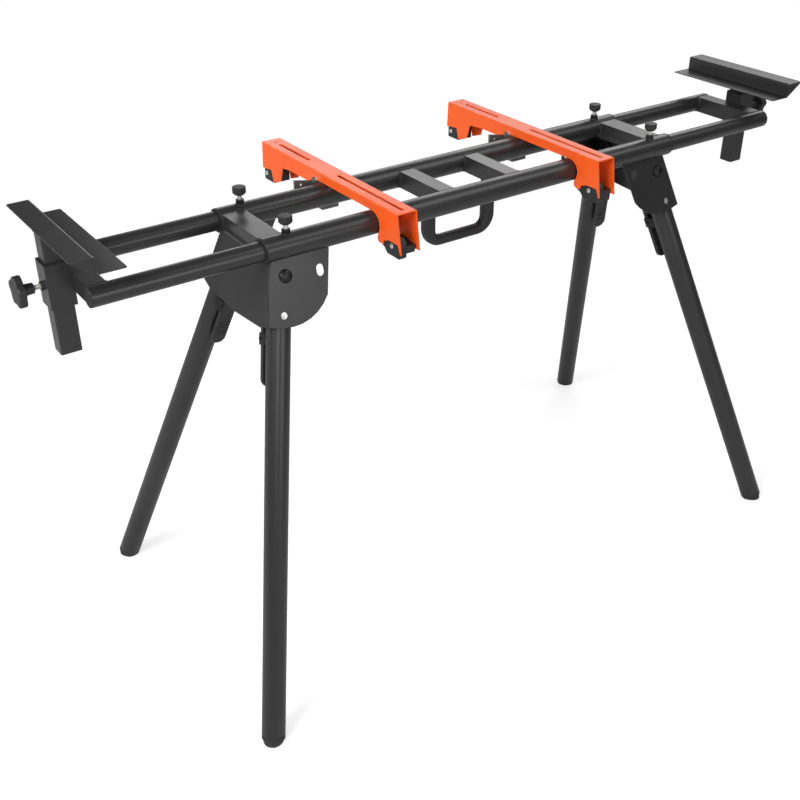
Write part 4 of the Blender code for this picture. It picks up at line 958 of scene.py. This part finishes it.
@dataclass
class Leg:
    """One splayed leg with its foot, bolt, lock lever and lock pin."""
    side: str
    row: str
    x_sign: int
    y_sign: int
    radius: float = 0.020
    wall: float = 0.002
    top: Triple = (0.395, 0.0545, 0.765)
    foot: Pair = (0.600, 0.304)
    pivot_z: float = 0.7145
    above: float = 0.018
    cap_height: float = 0.011
    cap_stem: float = 0.022
    cap_edge: float = 0.0006
    sole: float = 0.001
    cap_steps: Profile = ((0, 0.0085), (0.0005, 0.0081), (0.0005, 0.0075), (0, 0.0071), (0, 0.005),
                          (0.0025, 0.00067), (0.005, -0.012))
    sheet_face: float = 0.0225
    shank: float = 0.005
    shank_past: float = 0.001
    washer: Pair = (0.011, 0.0012)
    dome: Pair = (0.0108, 0.0046)
    dome_step_deg: int = 15
    nut: Pair = (0.008, 0.006)
    nut_edge: float = 0.0006
    lock: float = 0.062
    fulcrum: float = 0.040
    ear: float = 0.0022
    ear_gap: float = 0.0005
    saddle_rise: float = 0.004
    saddle_sink: float = 0.008
    saddle_length: float = 0.020
    saddle_edge: float = 0.0007
    hinge: float = 0.002
    hinge_head: Pair = (0.0028, 0.0012)
    hinge_edge: float = 0.0004
    lever_drop: float = 0.119
    lever_top: float = 0.012
    lever_width: float = 0.027
    lever_thickness: float = 0.008
    lever_corner: float = 0.006
    lever_tip_share: float = 0.98
    lever_edge: float = 0.0016
    ridges: int = 5
    ridge_size: Pair = (0.0022, 0.0016)
    ridge_share: float = 0.7
    ridge_round: float = 0.001
    ridge_edge: float = 0.0006
    ridge_start: float = 0.022
    ridge_pitch: float = 0.006
    stand_off: float = 0.009
    pin_radius: float = 0.0065
    pin_shoulder: float = 0.027
    pin_neck: float = 0.0032
    pin_head: Pair = (0.006, 0.0035)
    pin_past: float = 0.0015
    pin_edge: float = 0.0007
    wire: float = 0.0006
    wire_sides: int = 8
    coil_gap: float = 0.0015
    coil_seat: float = 1.2
    coil_ends: float = 2.5
    coils: int = 4
    coil_steps: int = 18
    name: str = field(init=False)
    body: str = field(init=False)
    down: Vector = field(init=False)
    across: Vector = field(init=False)
    out: Vector = field(init=False)
    pivot: Vector = field(init=False)
    length: float = field(init=False)
    lever_middle: float = field(init=False)

    def __post_init__(self) -> None:
        """Work out the leg's directions from its top and foot."""
        top = Vector((self.x_sign * self.top[0], self.y_sign * self.top[1], self.top[2]))
        foot = Vector((self.x_sign * self.foot[0], self.y_sign * self.foot[1], 0))
        self.name = f"{self.row}_{self.side}"
        self.body = f"leg_{self.name}"
        self.down = (foot - top).normalized()
        inward = X_AXIS * -self.x_sign
        self.across = (inward - inward.dot(self.down) * self.down).normalized()
        out = X_AXIS.cross(self.down).normalized()
        self.out = out if out.y * self.y_sign > 0 else -out
        self.pivot = top + self.down * ((self.top[2] - self.pivot_z) / -self.down.z)
        self.length = (foot - self.pivot).length
        self.lever_middle = self.radius + self.stand_off + self.lever_thickness / 2

    def point(self, down: float = 0.0, out: float = 0.0) -> Vector:
        """Place on the leg's middle plane."""
        return self.pivot + self.down * down + self.out * out

    def build(self) -> None:
        """Build the leg's pieces."""
        self.tube()
        self.saddle()
        self.shoe()
        self.bolt()
        self.lever()
        self.pin()
        self.spring()

    def tube(self) -> None:
        """The leg's tube, open at both ends."""
        length = self.above + self.length - self.cap_height
        inner = self.radius - self.wall
        shape = Shape.turned([(self.radius, 0), (self.radius, length), (inner, length), (inner, 0)], ring=True)
        shape.soften(CUT_EDGE, 1)
        shape.put(turned_frame(self.point(-self.above), self.down, self.across))
        shape.piece(f"leg_pipe_{self.name}", Finish.DARK, self.body, f"leg_tube_{self.name}")

    def saddle(self) -> None:
        """Saddle with two ears for the lever, and the hinge pin through them."""
        inner = self.lever_width / 2 + self.ear_gap
        outer = inner + self.ear
        base = -(self.radius + self.saddle_rise)
        tip = -(self.lever_middle + self.lever_thickness / 2)
        skirt = -(self.radius - self.saddle_sink)
        outline = [(-outer, skirt), (outer, skirt), (outer, tip), (inner, tip), (inner, base), (-inner, base),
                   (-inner, tip), (-outer, tip)]
        shape = Shape.plate(outline, self.saddle_length).soften(self.saddle_edge)
        shape.put(turned_frame(self.point(self.lock + self.fulcrum), self.across.cross(self.out), self.across))
        shape.piece(f"lever_saddle_{self.name}", Finish.OXIDE, self.body)
        head, head_height = self.hinge_head
        half = outer + head_height
        profile = [(0, -half), (head, -half), (head, -outer), (self.hinge, -outer), (self.hinge, outer),
                   (head, outer), (head, half), (0, half)]
        pin = Shape.turned(profile, PIN_STEPS).soften(self.hinge_edge)
        pin.put(turned_frame(self.point(self.lock + self.fulcrum, -self.lever_middle), self.across, self.out))
        pin.piece(f"lever_hinge_{self.name}", Finish.OXIDE, self.body)

    def shoe(self) -> None:
        """Plastic foot with a groove, cut flat where it stands on the floor."""
        shoe = self.cap_height - GAP
        stem = self.radius - self.wall - GAP
        profile = [(0, shoe + self.cap_stem), (stem, shoe + self.cap_stem), (stem, shoe), (self.radius, shoe)]
        profile += [(self.radius - inset, height) for inset, height in self.cap_steps]
        profile.append((0, self.cap_steps[-1][1]))
        shape = Shape.turned(profile).put(turned_frame(self.point(self.length), -self.down, self.across))
        shape.above(0).soften(self.cap_edge, 2, lambda middle: middle.z < self.sole)
        shape.piece(f"foot_{self.name}", Finish.FOOT, self.body, f"foot_cap_{self.name}")

    def bolt(self) -> None:
        """Domed pivot bolt with a washer, and its nut on the leg's inner side."""
        base = self.sheet_face + GAP
        nut = -self.radius - GAP
        seat = base + self.washer[1]
        dome, rise = self.dome
        angles = (math.radians(step) for step in range(0, 90, self.dome_step_deg))
        head = [(dome * math.cos(angle), seat + rise * math.sin(angle)) for angle in angles]
        end = nut - self.shank_past
        shape = Shape.turned([(0, end), (self.shank, end), (self.shank, base), (self.washer[0], base),
                              (self.washer[0], seat), *head, (0, seat + rise)])
        radius, height = self.nut
        profile = [(0, nut - height), (radius, nut - height), (radius, nut), (0, nut)]
        shape.join(Shape.turned(profile, NUT_SIDES).soften(self.nut_edge))
        shape.put(turned_frame(self.pivot, self.out, self.across))
        shape.piece(f"pivot_{self.name}", Finish.OXIDE, "frame", f"pivot_bolt_{self.name}")

    def lever(self) -> None:
        """Paddle with a round tip and grip ridges."""
        length = self.lever_drop + self.lever_top
        tip = self.lever_width / 2 * self.lever_tip_share
        shape = Shape.rounded_block((length, self.lever_width, self.lever_thickness),
                                    (self.lever_corner, tip, tip, self.lever_corner), 8)
        shape.soften(self.lever_edge, 3, wear=0.5)
        shape.move(X_AXIS * (self.lock - self.lever_top + length / 2))
        width, height = self.ridge_size
        start = self.lock + self.lever_drop - self.ridge_start
        for step in range(self.ridges):
            ridge = Shape.rounded_block((width, self.lever_width * self.ridge_share, height),
                                        [self.ridge_round] * 4, 3)
            ridge.soften(self.ridge_edge, 2, wear=0.6)
            ridge.move(Vector((start - self.ridge_pitch * step, 0, self.lever_thickness / 2)))
            shape.join(ridge)
        shape.put(turned_frame(self.point(0, -self.lever_middle), -self.out, self.down))
        shape.piece(f"lever_{self.name}", Finish.PLASTIC, f"lever_{self.name}", f"lock_lever_{self.name}")

    def pin(self) -> None:
        """Bright lock pin, whose tip shows in the bracket."""
        seat = -(self.lever_middle + self.lever_thickness / 2 + self.pin_past)
        head, head_height = self.pin_head
        profile = [(0, self.radius), (self.pin_radius, self.radius), (self.pin_radius, -self.pin_shoulder),
                   (self.pin_neck, -self.pin_shoulder), (self.pin_neck, seat), (head, seat),
                   (head, seat - head_height), (0, seat - head_height)]
        shape = Shape.turned(profile, PIN_STEPS).soften(self.pin_edge, 3)
        shape.put(turned_frame(self.point(self.lock), self.out, self.across))
        shape.piece(f"pin_{self.name}", Finish.ZINC, f"pin_{self.name}", f"lock_pin_{self.name}")

    def spring(self) -> None:
        """Coil spring round the pin, between the leg and the lever."""
        shape = Shape.section(self.wire, self.pin_radius + self.coil_gap, self.wire_sides)
        steps = self.coil_steps * self.coils
        length = self.stand_off - self.coil_ends * self.wire
        shape.spin(math.tau * self.coils, steps, climb=length / steps)
        seat = self.point(self.lock, -self.radius - self.coil_seat * self.wire)
        shape.put(turned_frame(seat, -self.out, self.across))
        shape.piece(f"pin_spring_{self.name}", Finish.ZINC, self.body)


@dataclass
class TubeKnob:
    """Small ribbed knob whose screw presses on an extension tube."""
    x: float = 0.394
    base: float = 0.7997
    top: float = 0.8137
    radius: float = 0.0112
    taper: float = 0.004
    groove: float = 0.0005
    edge: float = 0.0012
    neck: float = 0.004
    neck_foot: float = 0.7923
    neck_sink: float = 0.001
    screw: float = 0.003
    screw_edge: float = 0.0004
    foot: float = 0.7813
    ribs: int = 24
    rib_steps: int = 4

    def build(self, row: str, side: str, x_sign: int, y_sign: int, spread: float) -> None:
        """Build the knob and its screw.

        Args:
            row: near or far.
            side: left or right.
            x_sign: side along the rails.
            y_sign: side of the stand's middle.
            spread: rail axis to the middle of the stand.
        """
        place = Vector((x_sign * self.x, y_sign * spread, 0))
        name = f"tube_knob_{row}_{side}"
        steps = self.ribs * self.rib_steps
        profile = [(0, self.base), (self.radius - self.taper, self.base), (self.radius, self.base + self.taper),
                   (self.radius, self.top), (0, self.top)]
        shape = Shape.turned(profile, steps)
        for point in shape.bm.verts:
            number = round(math.atan2(point.co.y, point.co.x) / math.tau * steps)
            if point.co.xy.length > self.radius - MERGE and number % self.rib_steps < self.rib_steps / 2:
                point.co.xy *= 1 - self.groove / self.radius
        low, high = self.base + MERGE, self.top - MERGE
        shape.soften(self.edge, 3, lambda middle: middle.z > high or middle.z < low, wear=0.4)
        shape.move(place).piece(f"grip_{row}_{side}", Finish.PLASTIC, name, name)
        seat = self.base + self.neck_sink
        shape = Shape.turned([(0, self.foot), (self.screw, self.foot), (self.screw, self.neck_foot),
                              (self.neck, self.neck_foot), (self.neck, seat), (0, seat)], PIN_STEPS)
        shape.soften(self.screw_edge).move(place).piece(f"knob_screw_{row}_{side}", Finish.ZINC, name)


@dataclass
class Extension:
    """One end that slides out of the rails: two tubes, end frame, post, work support and knob."""
    side: str
    x_sign: int
    rails: Rails
    radius: float = 0.016
    wall: float = 0.0015
    end: float = 0.7174
    length: float = 0.465
    plug_rim: float = 0.0016
    plug_stem: float = 0.015
    plug_edge: float = 0.0009
    bar_side: float = 0.030
    bar_edge: float = 0.0009
    bar_gap: float = 0.0005
    post_x: float = 0.7344
    post_size: Pair = (0.033, 0.030)
    post_corner: float = 0.003
    post_bottom: float = 0.654
    post_top: float = 0.8443
    post_wall: float = 0.002
    post_depth: float = 0.03
    post_edge: float = 0.0004
    post_plug: float = 0.012
    post_plug_rise: float = 0.007
    post_plug_gap: float = 0.0002
    post_plug_corner: float = 0.0015
    post_plug_edge: float = 0.0008
    collar_half: Pair = (0.020, 0.0185)
    collar_high: float = 0.800
    lip_height: float = 0.0014
    lip_edge: float = 0.0004
    support_top: float = 0.8466
    support_step: float = 0.0246
    support_web: float = 0.7176
    support_outer: float = 0.752
    support_inner: float = 0.6721
    support_half: float = 0.130
    support_corner: float = 0.003
    support_edge: float = 0.0005
    sheet: float = 0.002
    bend: float = 0.0026
    bead: float = 0.0014
    bead_inset: float = 0.0035
    gusset_gap: float = 0.0006
    knob_shaft: float = 0.004
    knob_radius: float = 0.0222
    knob_lobe: float = 0.0023
    knob_lobes: int = 5
    knob_steps: int = 100
    knob_thickness: float = 0.0125
    knob_edge: float = 0.0024
    knob_hub: float = 0.008
    hub_taper: float = 0.001
    hub_edge: float = 0.0008
    hub_sink: float = 0.004
    hub_start: float = 0.769
    disc_start: float = 0.7845
    thread_pitch: float = 0.00125
    thread_depth: float = 0.0006
    thread_chamfer: float = 0.0008
    body: str = field(init=False)

    def __post_init__(self) -> None:
        """Name the body on which the sliding pieces ride."""
        self.body = f"extension_{self.side}"

    def build(self) -> None:
        """Build the extension's pieces."""
        for row, y_sign in ROWS:
            self.tube(row, y_sign)
        self.end_frame()
        self.collar_lip()
        self.post()
        self.support()
        self.gussets()
        self.knob()

    def tube(self, row: str, y_sign: int) -> None:
        """Extension tube with a plastic plug in its outer end.

        Args:
            row: near or far.
            y_sign: side of the stand's middle.
        """
        bore = self.radius - self.wall
        place = Vector((self.x_sign * self.end, y_sign * self.rails.spread, self.rails.height))
        stand = turned_frame(place, X_AXIS * self.x_sign, Z_AXIS)
        shape = Shape.turned([(self.radius, -self.plug_rim), (self.radius, -self.length), (bore, -self.length),
                              (bore, -self.plug_rim)], ring=True)
        shape.soften(CUT_EDGE, 1).put(stand)
        shape.piece(f"slide_tube_{row}_{self.side}", Finish.DARK, self.body,
                    f"extension_tube_{row}_{self.side}")
        rim, stem = self.radius - GAP, bore - GAP
        plug = Shape.turned([(0, 0), (rim, 0), (rim, -self.plug_rim), (stem, -self.plug_rim),
                             (stem, -self.plug_stem), (0, -self.plug_stem)]).soften(self.plug_edge, 3, wear=0.4)
        plug.put(stand).piece(f"tube_plug_{row}_{self.side}", Finish.PLASTIC, self.body)

    def end_frame(self) -> None:
        """End bar and post collar, with their welds."""
        shape = Shape.copy_of(f"end_frame_{self.side}").soften(self.bar_edge, 3)
        shape.piece(f"end_bar_{self.side}", Finish.DARK, self.body, f"end_frame_{self.side}")
        collar_x, collar_y = self.collar_half
        outer = self.post_x - collar_x + self.bar_gap
        half = self.bar_side / 2
        beads = Shape()
        for _, y_sign in ROWS:
            beads.join(*cross_welds(self.rails, self.x_sign * (outer - self.bar_side), self.x_sign * outer,
                                    y_sign, self.radius, half, self.bead))
        seam = self.x_sign * (self.post_x - collar_x)
        for z in (half, -half):
            beads.join(bead_along(Vector((seam, -collar_y, self.rails.height + z)),
                                  Vector((seam, collar_y, self.rails.height + z)), self.bead))
        beads.piece(f"end_welds_{self.side}", Finish.WELD, self.body)

    def collar_lip(self) -> None:
        """Lip of the plastic liner between post and collar, which covers the collar's upper edge."""
        collar_x, collar_y = self.collar_half
        shape = Shape.rounded_block((2 * (collar_x - GAP), 2 * (collar_y - GAP), self.lip_height), [0.0] * 4)
        ends = [face for face in shape.bm.faces if abs(face.normal.z) > LEVEL]
        rim = collar_x - self.post_size[0] / 2 - 2 * GAP
        bmesh.ops.inset_region(shape.bm, faces=ends, thickness=rim, use_even_offset=True)
        rims = [edge for face in ends for edge in face.edges]
        bmesh.ops.delete(shape.bm, geom=ends, context="FACES_ONLY")
        bmesh.ops.bridge_loops(shape.bm, edges=rims)
        shape.closed().soften(self.lip_edge, 2, wear=0.4)
        shape.move(Vector((self.x_sign * self.post_x, 0, self.collar_high + GAP + self.lip_height / 2)))
        shape.piece(f"collar_lip_{self.side}", Finish.LINER, self.body)

    def post(self) -> None:
        """Square post with rounded corners, closed below by a plug."""
        width, depth = self.post_size
        x = self.x_sign * self.post_x
        shape = Shape.rounded_block((width, depth, self.post_top - self.post_bottom), [self.post_corner] * 4, 4)
        bottom = min(shape.bm.faces, key=lambda face: face.calc_center_median().z)
        bmesh.ops.inset_region(shape.bm, faces=[bottom], thickness=self.post_wall, use_even_offset=True)
        bmesh.ops.translate(shape.bm, vec=Z_AXIS * self.post_depth, verts=bottom.verts)
        shape.soften(self.post_edge, 1).move(Vector((x, 0, (self.post_top + self.post_bottom) / 2)))
        shape.piece(f"post_{self.side}", Finish.DARK, f"post_{self.side}", f"support_post_{self.side}")
        less = 2 * (self.post_wall + self.post_plug_gap)
        plug = Shape.rounded_block((width - less, depth - less, self.post_plug), [self.post_plug_corner] * 4, 3)
        plug.soften(self.post_plug_edge).move(Vector((x, 0, self.post_bottom + self.post_plug_rise)))
        plug.piece(f"post_plug_{self.side}", Finish.PLASTIC, f"post_{self.side}")

    def support(self) -> None:
        """Bent sheet that carries the workpiece, and the welds that join it to the post."""
        low = self.support_top - self.support_step - self.sheet / 2
        high = self.support_top - self.sheet / 2
        web = self.support_web - self.sheet / 2
        shape = Shape()
        corners = [shape.bm.verts.new((self.x_sign * x, -self.support_half, z))
                   for x, z in ((self.support_inner, low), (web, low), (web, high), (self.support_outer, high))]
        edges = [shape.bm.edges.new(pair) for pair in zip(corners, corners[1:])]
        made = bmesh.ops.extrude_edge_only(shape.bm, edges=edges)["geom"]
        moved = [item for item in made if isinstance(item, bmesh.types.BMVert)]
        bmesh.ops.translate(shape.bm, vec=Y_AXIS * (2 * self.support_half), verts=moved)
        bends = [edge for edge in shape.bm.edges if len(edge.link_faces) == 2]
        bmesh.ops.bevel(shape.bm, geom=bends, offset=self.bend, segments=6, profile=0.5, affect="EDGES",
                        material=-1)
        ends = [point for point in shape.bm.verts if len(point.link_edges) == 2
                and abs(abs(point.co.x) - web) > self.bend * 2]
        bmesh.ops.bevel(shape.bm, geom=ends, offset=self.support_corner, segments=3, profile=0.5,
                        affect="VERTICES", material=-1)
        bmesh.ops.recalc_face_normals(shape.bm, faces=shape.bm.faces)
        for point in shape.bm.verts:
            point.normal_update()
        skin = [(point, point.normal.copy()) for point in shape.bm.verts]
        for point, normal in skin:
            point.co += normal * self.sheet / 2
        bmesh.ops.solidify(shape.bm, geom=shape.bm.faces[:], thickness=self.sheet)
        shape.closed().soften(self.support_edge)
        shape.piece(f"support_{self.side}", Finish.DARK, f"post_{self.side}", f"work_support_{self.side}")
        width, depth = self.post_size
        under = self.support_top - self.sheet
        x = self.x_sign * (self.post_x - width / 2 + self.bead_inset)
        outer = self.x_sign * (self.post_x + width / 2)
        spots = [Vector((x, -depth / 2, under)), Vector((outer, -depth / 2, under)),
                 Vector((outer, depth / 2, under)), Vector((x, depth / 2, under))]
        welds = Shape().join(*(bead_along(start, end, self.bead) for start, end in zip(spots, spots[1:])))
        welds.piece(f"support_welds_{self.side}", Finish.WELD, f"post_{self.side}")

    def gussets(self) -> None:
        """Triangles that close the support's step at both ends."""
        gussets = Shape()
        corners = [(0, 0), (self.support_outer - self.support_web - self.gusset_gap, 0),
                   (0, self.sheet - self.support_step)]
        for _, y_sign in ROWS:
            place = Vector((self.x_sign * self.support_web, y_sign * (self.support_half - self.sheet / 2),
                            self.support_top - self.sheet))
            gusset = Shape.plate(corners, self.sheet).soften(CUT_EDGE, 1)
            gussets.join(gusset.put(turned_frame(place, Y_AXIS * -self.x_sign, X_AXIS * self.x_sign)))
        gussets.piece(f"support_gussets_{self.side}", Finish.DARK, f"post_{self.side}")

    def knob(self) -> None:
        """Five-lobed knob on a threaded bright screw."""
        name = f"side_knob_{self.side}"
        stand = turned_frame(Z_AXIS * self.rails.height, X_AXIS * self.x_sign, Z_AXIS)
        shape = Shape()
        bmesh.ops.create_circle(shape.bm, cap_ends=True, radius=self.knob_radius, segments=self.knob_steps)
        for point in shape.bm.verts:
            angle = math.atan2(point.co.y, point.co.x)
            point.co *= 1 + self.knob_lobe / self.knob_radius * math.cos(self.knob_lobes * angle)
        shape.raised(self.knob_thickness).move(Z_AXIS * self.disc_start).soften(self.knob_edge, 4, wear=0.4)
        rim = self.knob_hub + self.hub_taper
        hub_end = self.disc_start + self.hub_sink
        hub = Shape.turned([(0, self.hub_start), (self.knob_hub, self.hub_start), (rim, self.disc_start),
                            (rim, hub_end), (0, hub_end)], PIN_STEPS).soften(self.hub_edge, 2, wear=0.4)
        shape.join(hub).put(stand).piece(f"star_knob_{self.side}", Finish.PLASTIC, name, name)
        start = self.post_x + self.post_size[0] / 2 + GAP
        thread = [(0, start), (self.knob_shaft - self.thread_chamfer, start)]
        for step in range(int((self.hub_start - start) / self.thread_pitch)):
            thread.append((self.knob_shaft, start + self.thread_pitch * (step + 0.5)))
            thread.append((self.knob_shaft - self.thread_depth, start + self.thread_pitch * (step + 1)))
        end = self.hub_start + self.hub_sink
        thread += [(self.knob_shaft, self.hub_start), (self.knob_shaft, end), (0, end)]
        screw = Shape.turned(thread, PIN_STEPS)
        screw.put(stand).piece(f"star_knob_screw_{self.side}", Finish.ZINC, name)


@dataclass
class SawArm:
    """One orange arm with its rail hook, end blocks, release catch and rivets."""
    side: str
    x: float
    half: float = 0.019
    wall: float = 0.002
    top: float = 0.801
    bend: float = 0.0016
    cut_edge: float = 0.00035
    fitting_edge: float = 0.0007
    catch_edge: float = 0.0009
    catch_face: float = 0.0145
    near_rivet: Pair = (-0.127, 0.740)
    far_rivet: Pair = (0.280, 0.743)
    hook_bolt: Pair = (0.095, 0.787)
    rivet: Pair = (0.0042, 0.0018)
    bolt: Pair = (0.0048, 0.0082)
    nut_height: float = 0.0042
    head_side: float = 0.6
    head_shoulder: Pair = (0.8, 0.9)
    head_edge: float = 0.0003
    nut_edge: float = 0.0005
    rib_size: Triple = (0.006, 0.025, 0.0045)
    rib_place: Triple = (0.0132, -0.118, 0.7448)
    rib_round: float = 0.001

    def build(self) -> None:
        """Build the arm's pieces."""
        body = f"arm_{self.side}"
        shape = Shape.copy_of(f"saw_arm_{self.side}").soften(self.bend, 4, self.on_bend)
        shape.soften(self.cut_edge, 2, lambda middle: middle.z < self.top - self.bend * PAST_BEND
                     or not self.on_side(middle.x))
        shape.piece(f"arm_channel_{self.side}", Finish.ORANGE, body, f"saw_arm_{self.side}")
        for node, name, finish in (("rail_hook", "hook", Finish.HOOK),
                                   ("end_block_near", "near_block", Finish.PLASTIC),
                                   ("end_block_far", "far_block", Finish.PLASTIC)):
            copy = Shape.copy_of(f"{node}_{self.side}")
            if name == "near_block":
                copy.join(self.inner_rib())
            copy.soften(self.fitting_edge).piece(f"{name}_{self.side}", finish, body, f"{node}_{self.side}")
        catch = Shape.copy_of(f"release_catch_{self.side}").soften(self.catch_edge, 3)
        catch.piece(f"thumb_catch_{self.side}", Finish.PLASTIC, f"catch_{self.side}",
                    f"release_catch_{self.side}")
        self.bright_ends()

    def inner_rib(self) -> Shape:
        """Rib on the near block that closes the gap under the right wall's edge."""
        rib = Shape.rounded_block(self.rib_size, [self.rib_round] * 4)
        return rib.move(Vector(self.rib_place) + X_AXIS * self.x)

    def on_side(self, x: float) -> bool:
        """Whether a place is at the outer face of one of the arm's walls."""
        return abs(abs(x - self.x) - self.half) < ON_FACE

    def on_bend(self, middle: Vector) -> bool:
        """Whether an edge's middle lies on one of the arm's two long top edges."""
        return middle.z > self.top - ON_FACE and self.on_side(middle.x)

    def bright_ends(self) -> None:
        """Bright heads over the rivets and the hook's bolt and nut."""
        heads = Shape()
        for (y, z), start, (radius, height) in (
                (self.near_rivet, -self.catch_face - GAP, self.rivet),
                (self.far_rivet, -self.half + self.wall + GAP, self.rivet),
                (self.hook_bolt, -self.half - GAP, self.bolt)):
            profile = [(0, 0), (radius, 0), (radius, height * self.head_side),
                       (radius * self.head_shoulder[0], height * self.head_shoulder[1]), (0, height)]
            dome = Shape.turned(profile, PIN_STEPS).soften(self.head_edge)
            heads.join(dome.put(turned_frame(Vector((self.x + start, y, z)), -X_AXIS, Z_AXIS)))
        radius = self.bolt[0]
        nut = Shape.turned([(0, 0), (radius, 0), (radius, self.nut_height), (0, self.nut_height)], NUT_SIDES)
        place = Vector((self.x + self.half + GAP, *self.hook_bolt))
        heads.join(nut.soften(self.nut_edge).put(turned_frame(place, X_AXIS, Z_AXIS)))
        heads.piece(f"bright_heads_{self.side}", Finish.ZINC, f"arm_{self.side}")


# Studio

@dataclass(frozen=True)
class Softbox:
    """A soft lamp that looks at the stand."""
    name: str
    azimuth: float
    elevation: float
    distance: float
    size: Pair
    power: float

    def build(self, target: Vector) -> None:
        """Hang the lamp.

        Args:
            target: the point at which it looks.
        """
        towards = direction(math.radians(self.azimuth), math.radians(self.elevation))
        lamp = bpy.data.lights.new(self.name, "AREA")
        lamp.shape = "RECTANGLE"
        lamp.size, lamp.size_y = self.size
        lamp.energy = self.power
        item = bpy.data.objects.new(self.name, lamp)
        item.location = target + towards * self.distance
        item.rotation_euler = towards.to_track_quat("Z", "Y").to_euler()
        item.visible_camera = False
        bpy.context.scene.collection.objects.link(item)


def direction(azimuth: float, elevation: float) -> Vector:
    """Unit vector at an azimuth from Y towards X and an elevation above the floor."""
    return Vector((math.sin(azimuth) * math.cos(elevation), math.cos(azimuth) * math.cos(elevation),
                   math.sin(elevation)))


@dataclass
class Studio:
    """Pale floor, white surround, soft lamps and the camera."""
    target: Vector = field(default_factory=lambda: Vector((0, 0, 0.6)))
    eye: Triple = (-1.1600, -1.4908, 1.4586)
    yaw: float = 34.668
    pitch: float = 31.422
    roll: float = 0.231
    lens: float = 50.0
    sensor: float = 36.0
    floor_size: float = 30.0
    floor_drop: float = 0.0002
    floor_grey: float = 215
    glow: float = 0.55
    fade: Pair = (0.9, 1.9)
    diffuse_level: float = 0.1
    glossy_level: float = 0.13
    lamps: tuple[Softbox, ...] = (
        Softbox("left_key_box", azimuth=257, elevation=36, distance=3.4, size=(1.8, 1.6), power=82),
        Softbox("back_box", azimuth=54, elevation=31, distance=3.4, size=(2.0, 1.4), power=27),
        Softbox("front_box", azimuth=172, elevation=13, distance=3.4, size=(2.0, 1.6), power=22),
        Softbox("front_left_box", azimuth=214, elevation=22, distance=3.6, size=(1.4, 1.4), power=21),
        Softbox("front_right_box", azimuth=130, elevation=46, distance=3.4, size=(1.8, 1.6), power=22),
        Softbox("left_back_box", azimuth=300, elevation=12, distance=3.4, size=(1.6, 1.6), power=16),
        Softbox("low_back_box", azimuth=23, elevation=18, distance=3.4, size=(1.4, 1.4), power=13),
    )

    def build(self) -> None:
        """Set up the studio."""
        self.world()
        self.floor()
        for lamp in self.lamps:
            lamp.build(self.target)
        self.camera()
        bpy.context.scene.view_settings.view_transform = "Standard"

    def world(self) -> None:
        """White surround for the camera and through clear things, dimmer in gloss and as light."""
        world = bpy.data.worlds.new("white_surround")
        bpy.context.scene.world = world
        world.use_nodes = True
        bench = Bench(world.node_tree)
        camera = bench.node("ShaderNodeLightPath", {}, {}, "Is Camera Ray")
        seen = camera.at_least(camera.beside("Is Transmission Ray"))
        level = (camera.beside("Is Glossy Ray") * self.glossy_level + seen).at_least(self.diffuse_level)
        bench.close("ShaderNodeOutputWorld",
                    bench.node("ShaderNodeBackground", {}, {"Color": WHITE, "Strength": level}))

    def floor(self) -> None:
        """Pale floor that keeps the stand's soft shadow and turns white away from it."""
        recipe = Recipe("pale_floor")
        seen = recipe.node("ShaderNodeLightPath", {}, {}, "Is Camera Ray")
        diffuse = recipe.node("ShaderNodeBsdfDiffuse", {}, {"Color": screen(*[self.floor_grey] * 3)})
        glow = recipe.node("ShaderNodeEmission", {}, {"Color": WHITE, "Strength": seen * self.glow})
        near = recipe.node("ShaderNodeAddShader", {}, {0: diffuse, 1: glow})
        white = recipe.node("ShaderNodeEmission", {}, {"Color": WHITE, "Strength": 1.0})
        away = recipe.node("ShaderNodeVectorMath", {"operation": "LENGTH"}, {0: recipe.place}, "Value")
        share = away.between(*self.fade) * seen
        recipe.close("ShaderNodeOutputMaterial",
                     recipe.node("ShaderNodeMixShader", {}, {0: share, 1: near, 2: white}))
        mesh = bpy.data.meshes.new("studio_floor")
        sheet = bmesh.new()
        bmesh.ops.create_grid(sheet, x_segments=1, y_segments=1, size=self.floor_size)
        sheet.to_mesh(mesh)
        sheet.free()
        mesh.materials.append(recipe.material)
        item = bpy.data.objects.new("studio_floor", mesh)
        item.location.z = -self.floor_drop
        bpy.context.scene.collection.objects.link(item)

    def camera(self) -> None:
        """Camera at the photograph's place and angle."""
        yaw, pitch, roll = (math.radians(value) for value in (self.yaw, self.pitch, self.roll))
        ahead = direction(yaw, -pitch)
        level = Vector((math.cos(yaw), -math.sin(yaw), 0))
        down = ahead.cross(level)
        right = level * math.cos(roll) + down * math.sin(roll)
        drop = down * math.cos(roll) - level * math.sin(roll)
        lens = bpy.data.cameras.new("photo_camera")
        lens.lens = self.lens
        lens.sensor_width = self.sensor
        item = bpy.data.objects.new("photo_camera", lens)
        place = Matrix((right, -drop, -ahead)).transposed().to_4x4()
        place.translation = Vector(self.eye)
        item.matrix_world = place
        bpy.context.scene.collection.objects.link(item)
        bpy.context.scene.camera = item


def main() -> None:
    """Dress the stand and set up the studio."""
    logging.basicConfig(level=logging.INFO, format="%(name)s: %(message)s")
    rails = Rails()
    rails.build()
    CrossFrame(rails).build()
    for side, x_sign in SIDES:
        for row, y_sign in ROWS:
            Leg(side, row, x_sign, y_sign).build()
            TubeKnob().build(row, side, x_sign, y_sign, rails.spread)
        Extension(side, x_sign, rails).build()
    for side, x in ARMS:
        SawArm(side, x).build()
    Studio().build()


if __name__ == "__main__":
    main()
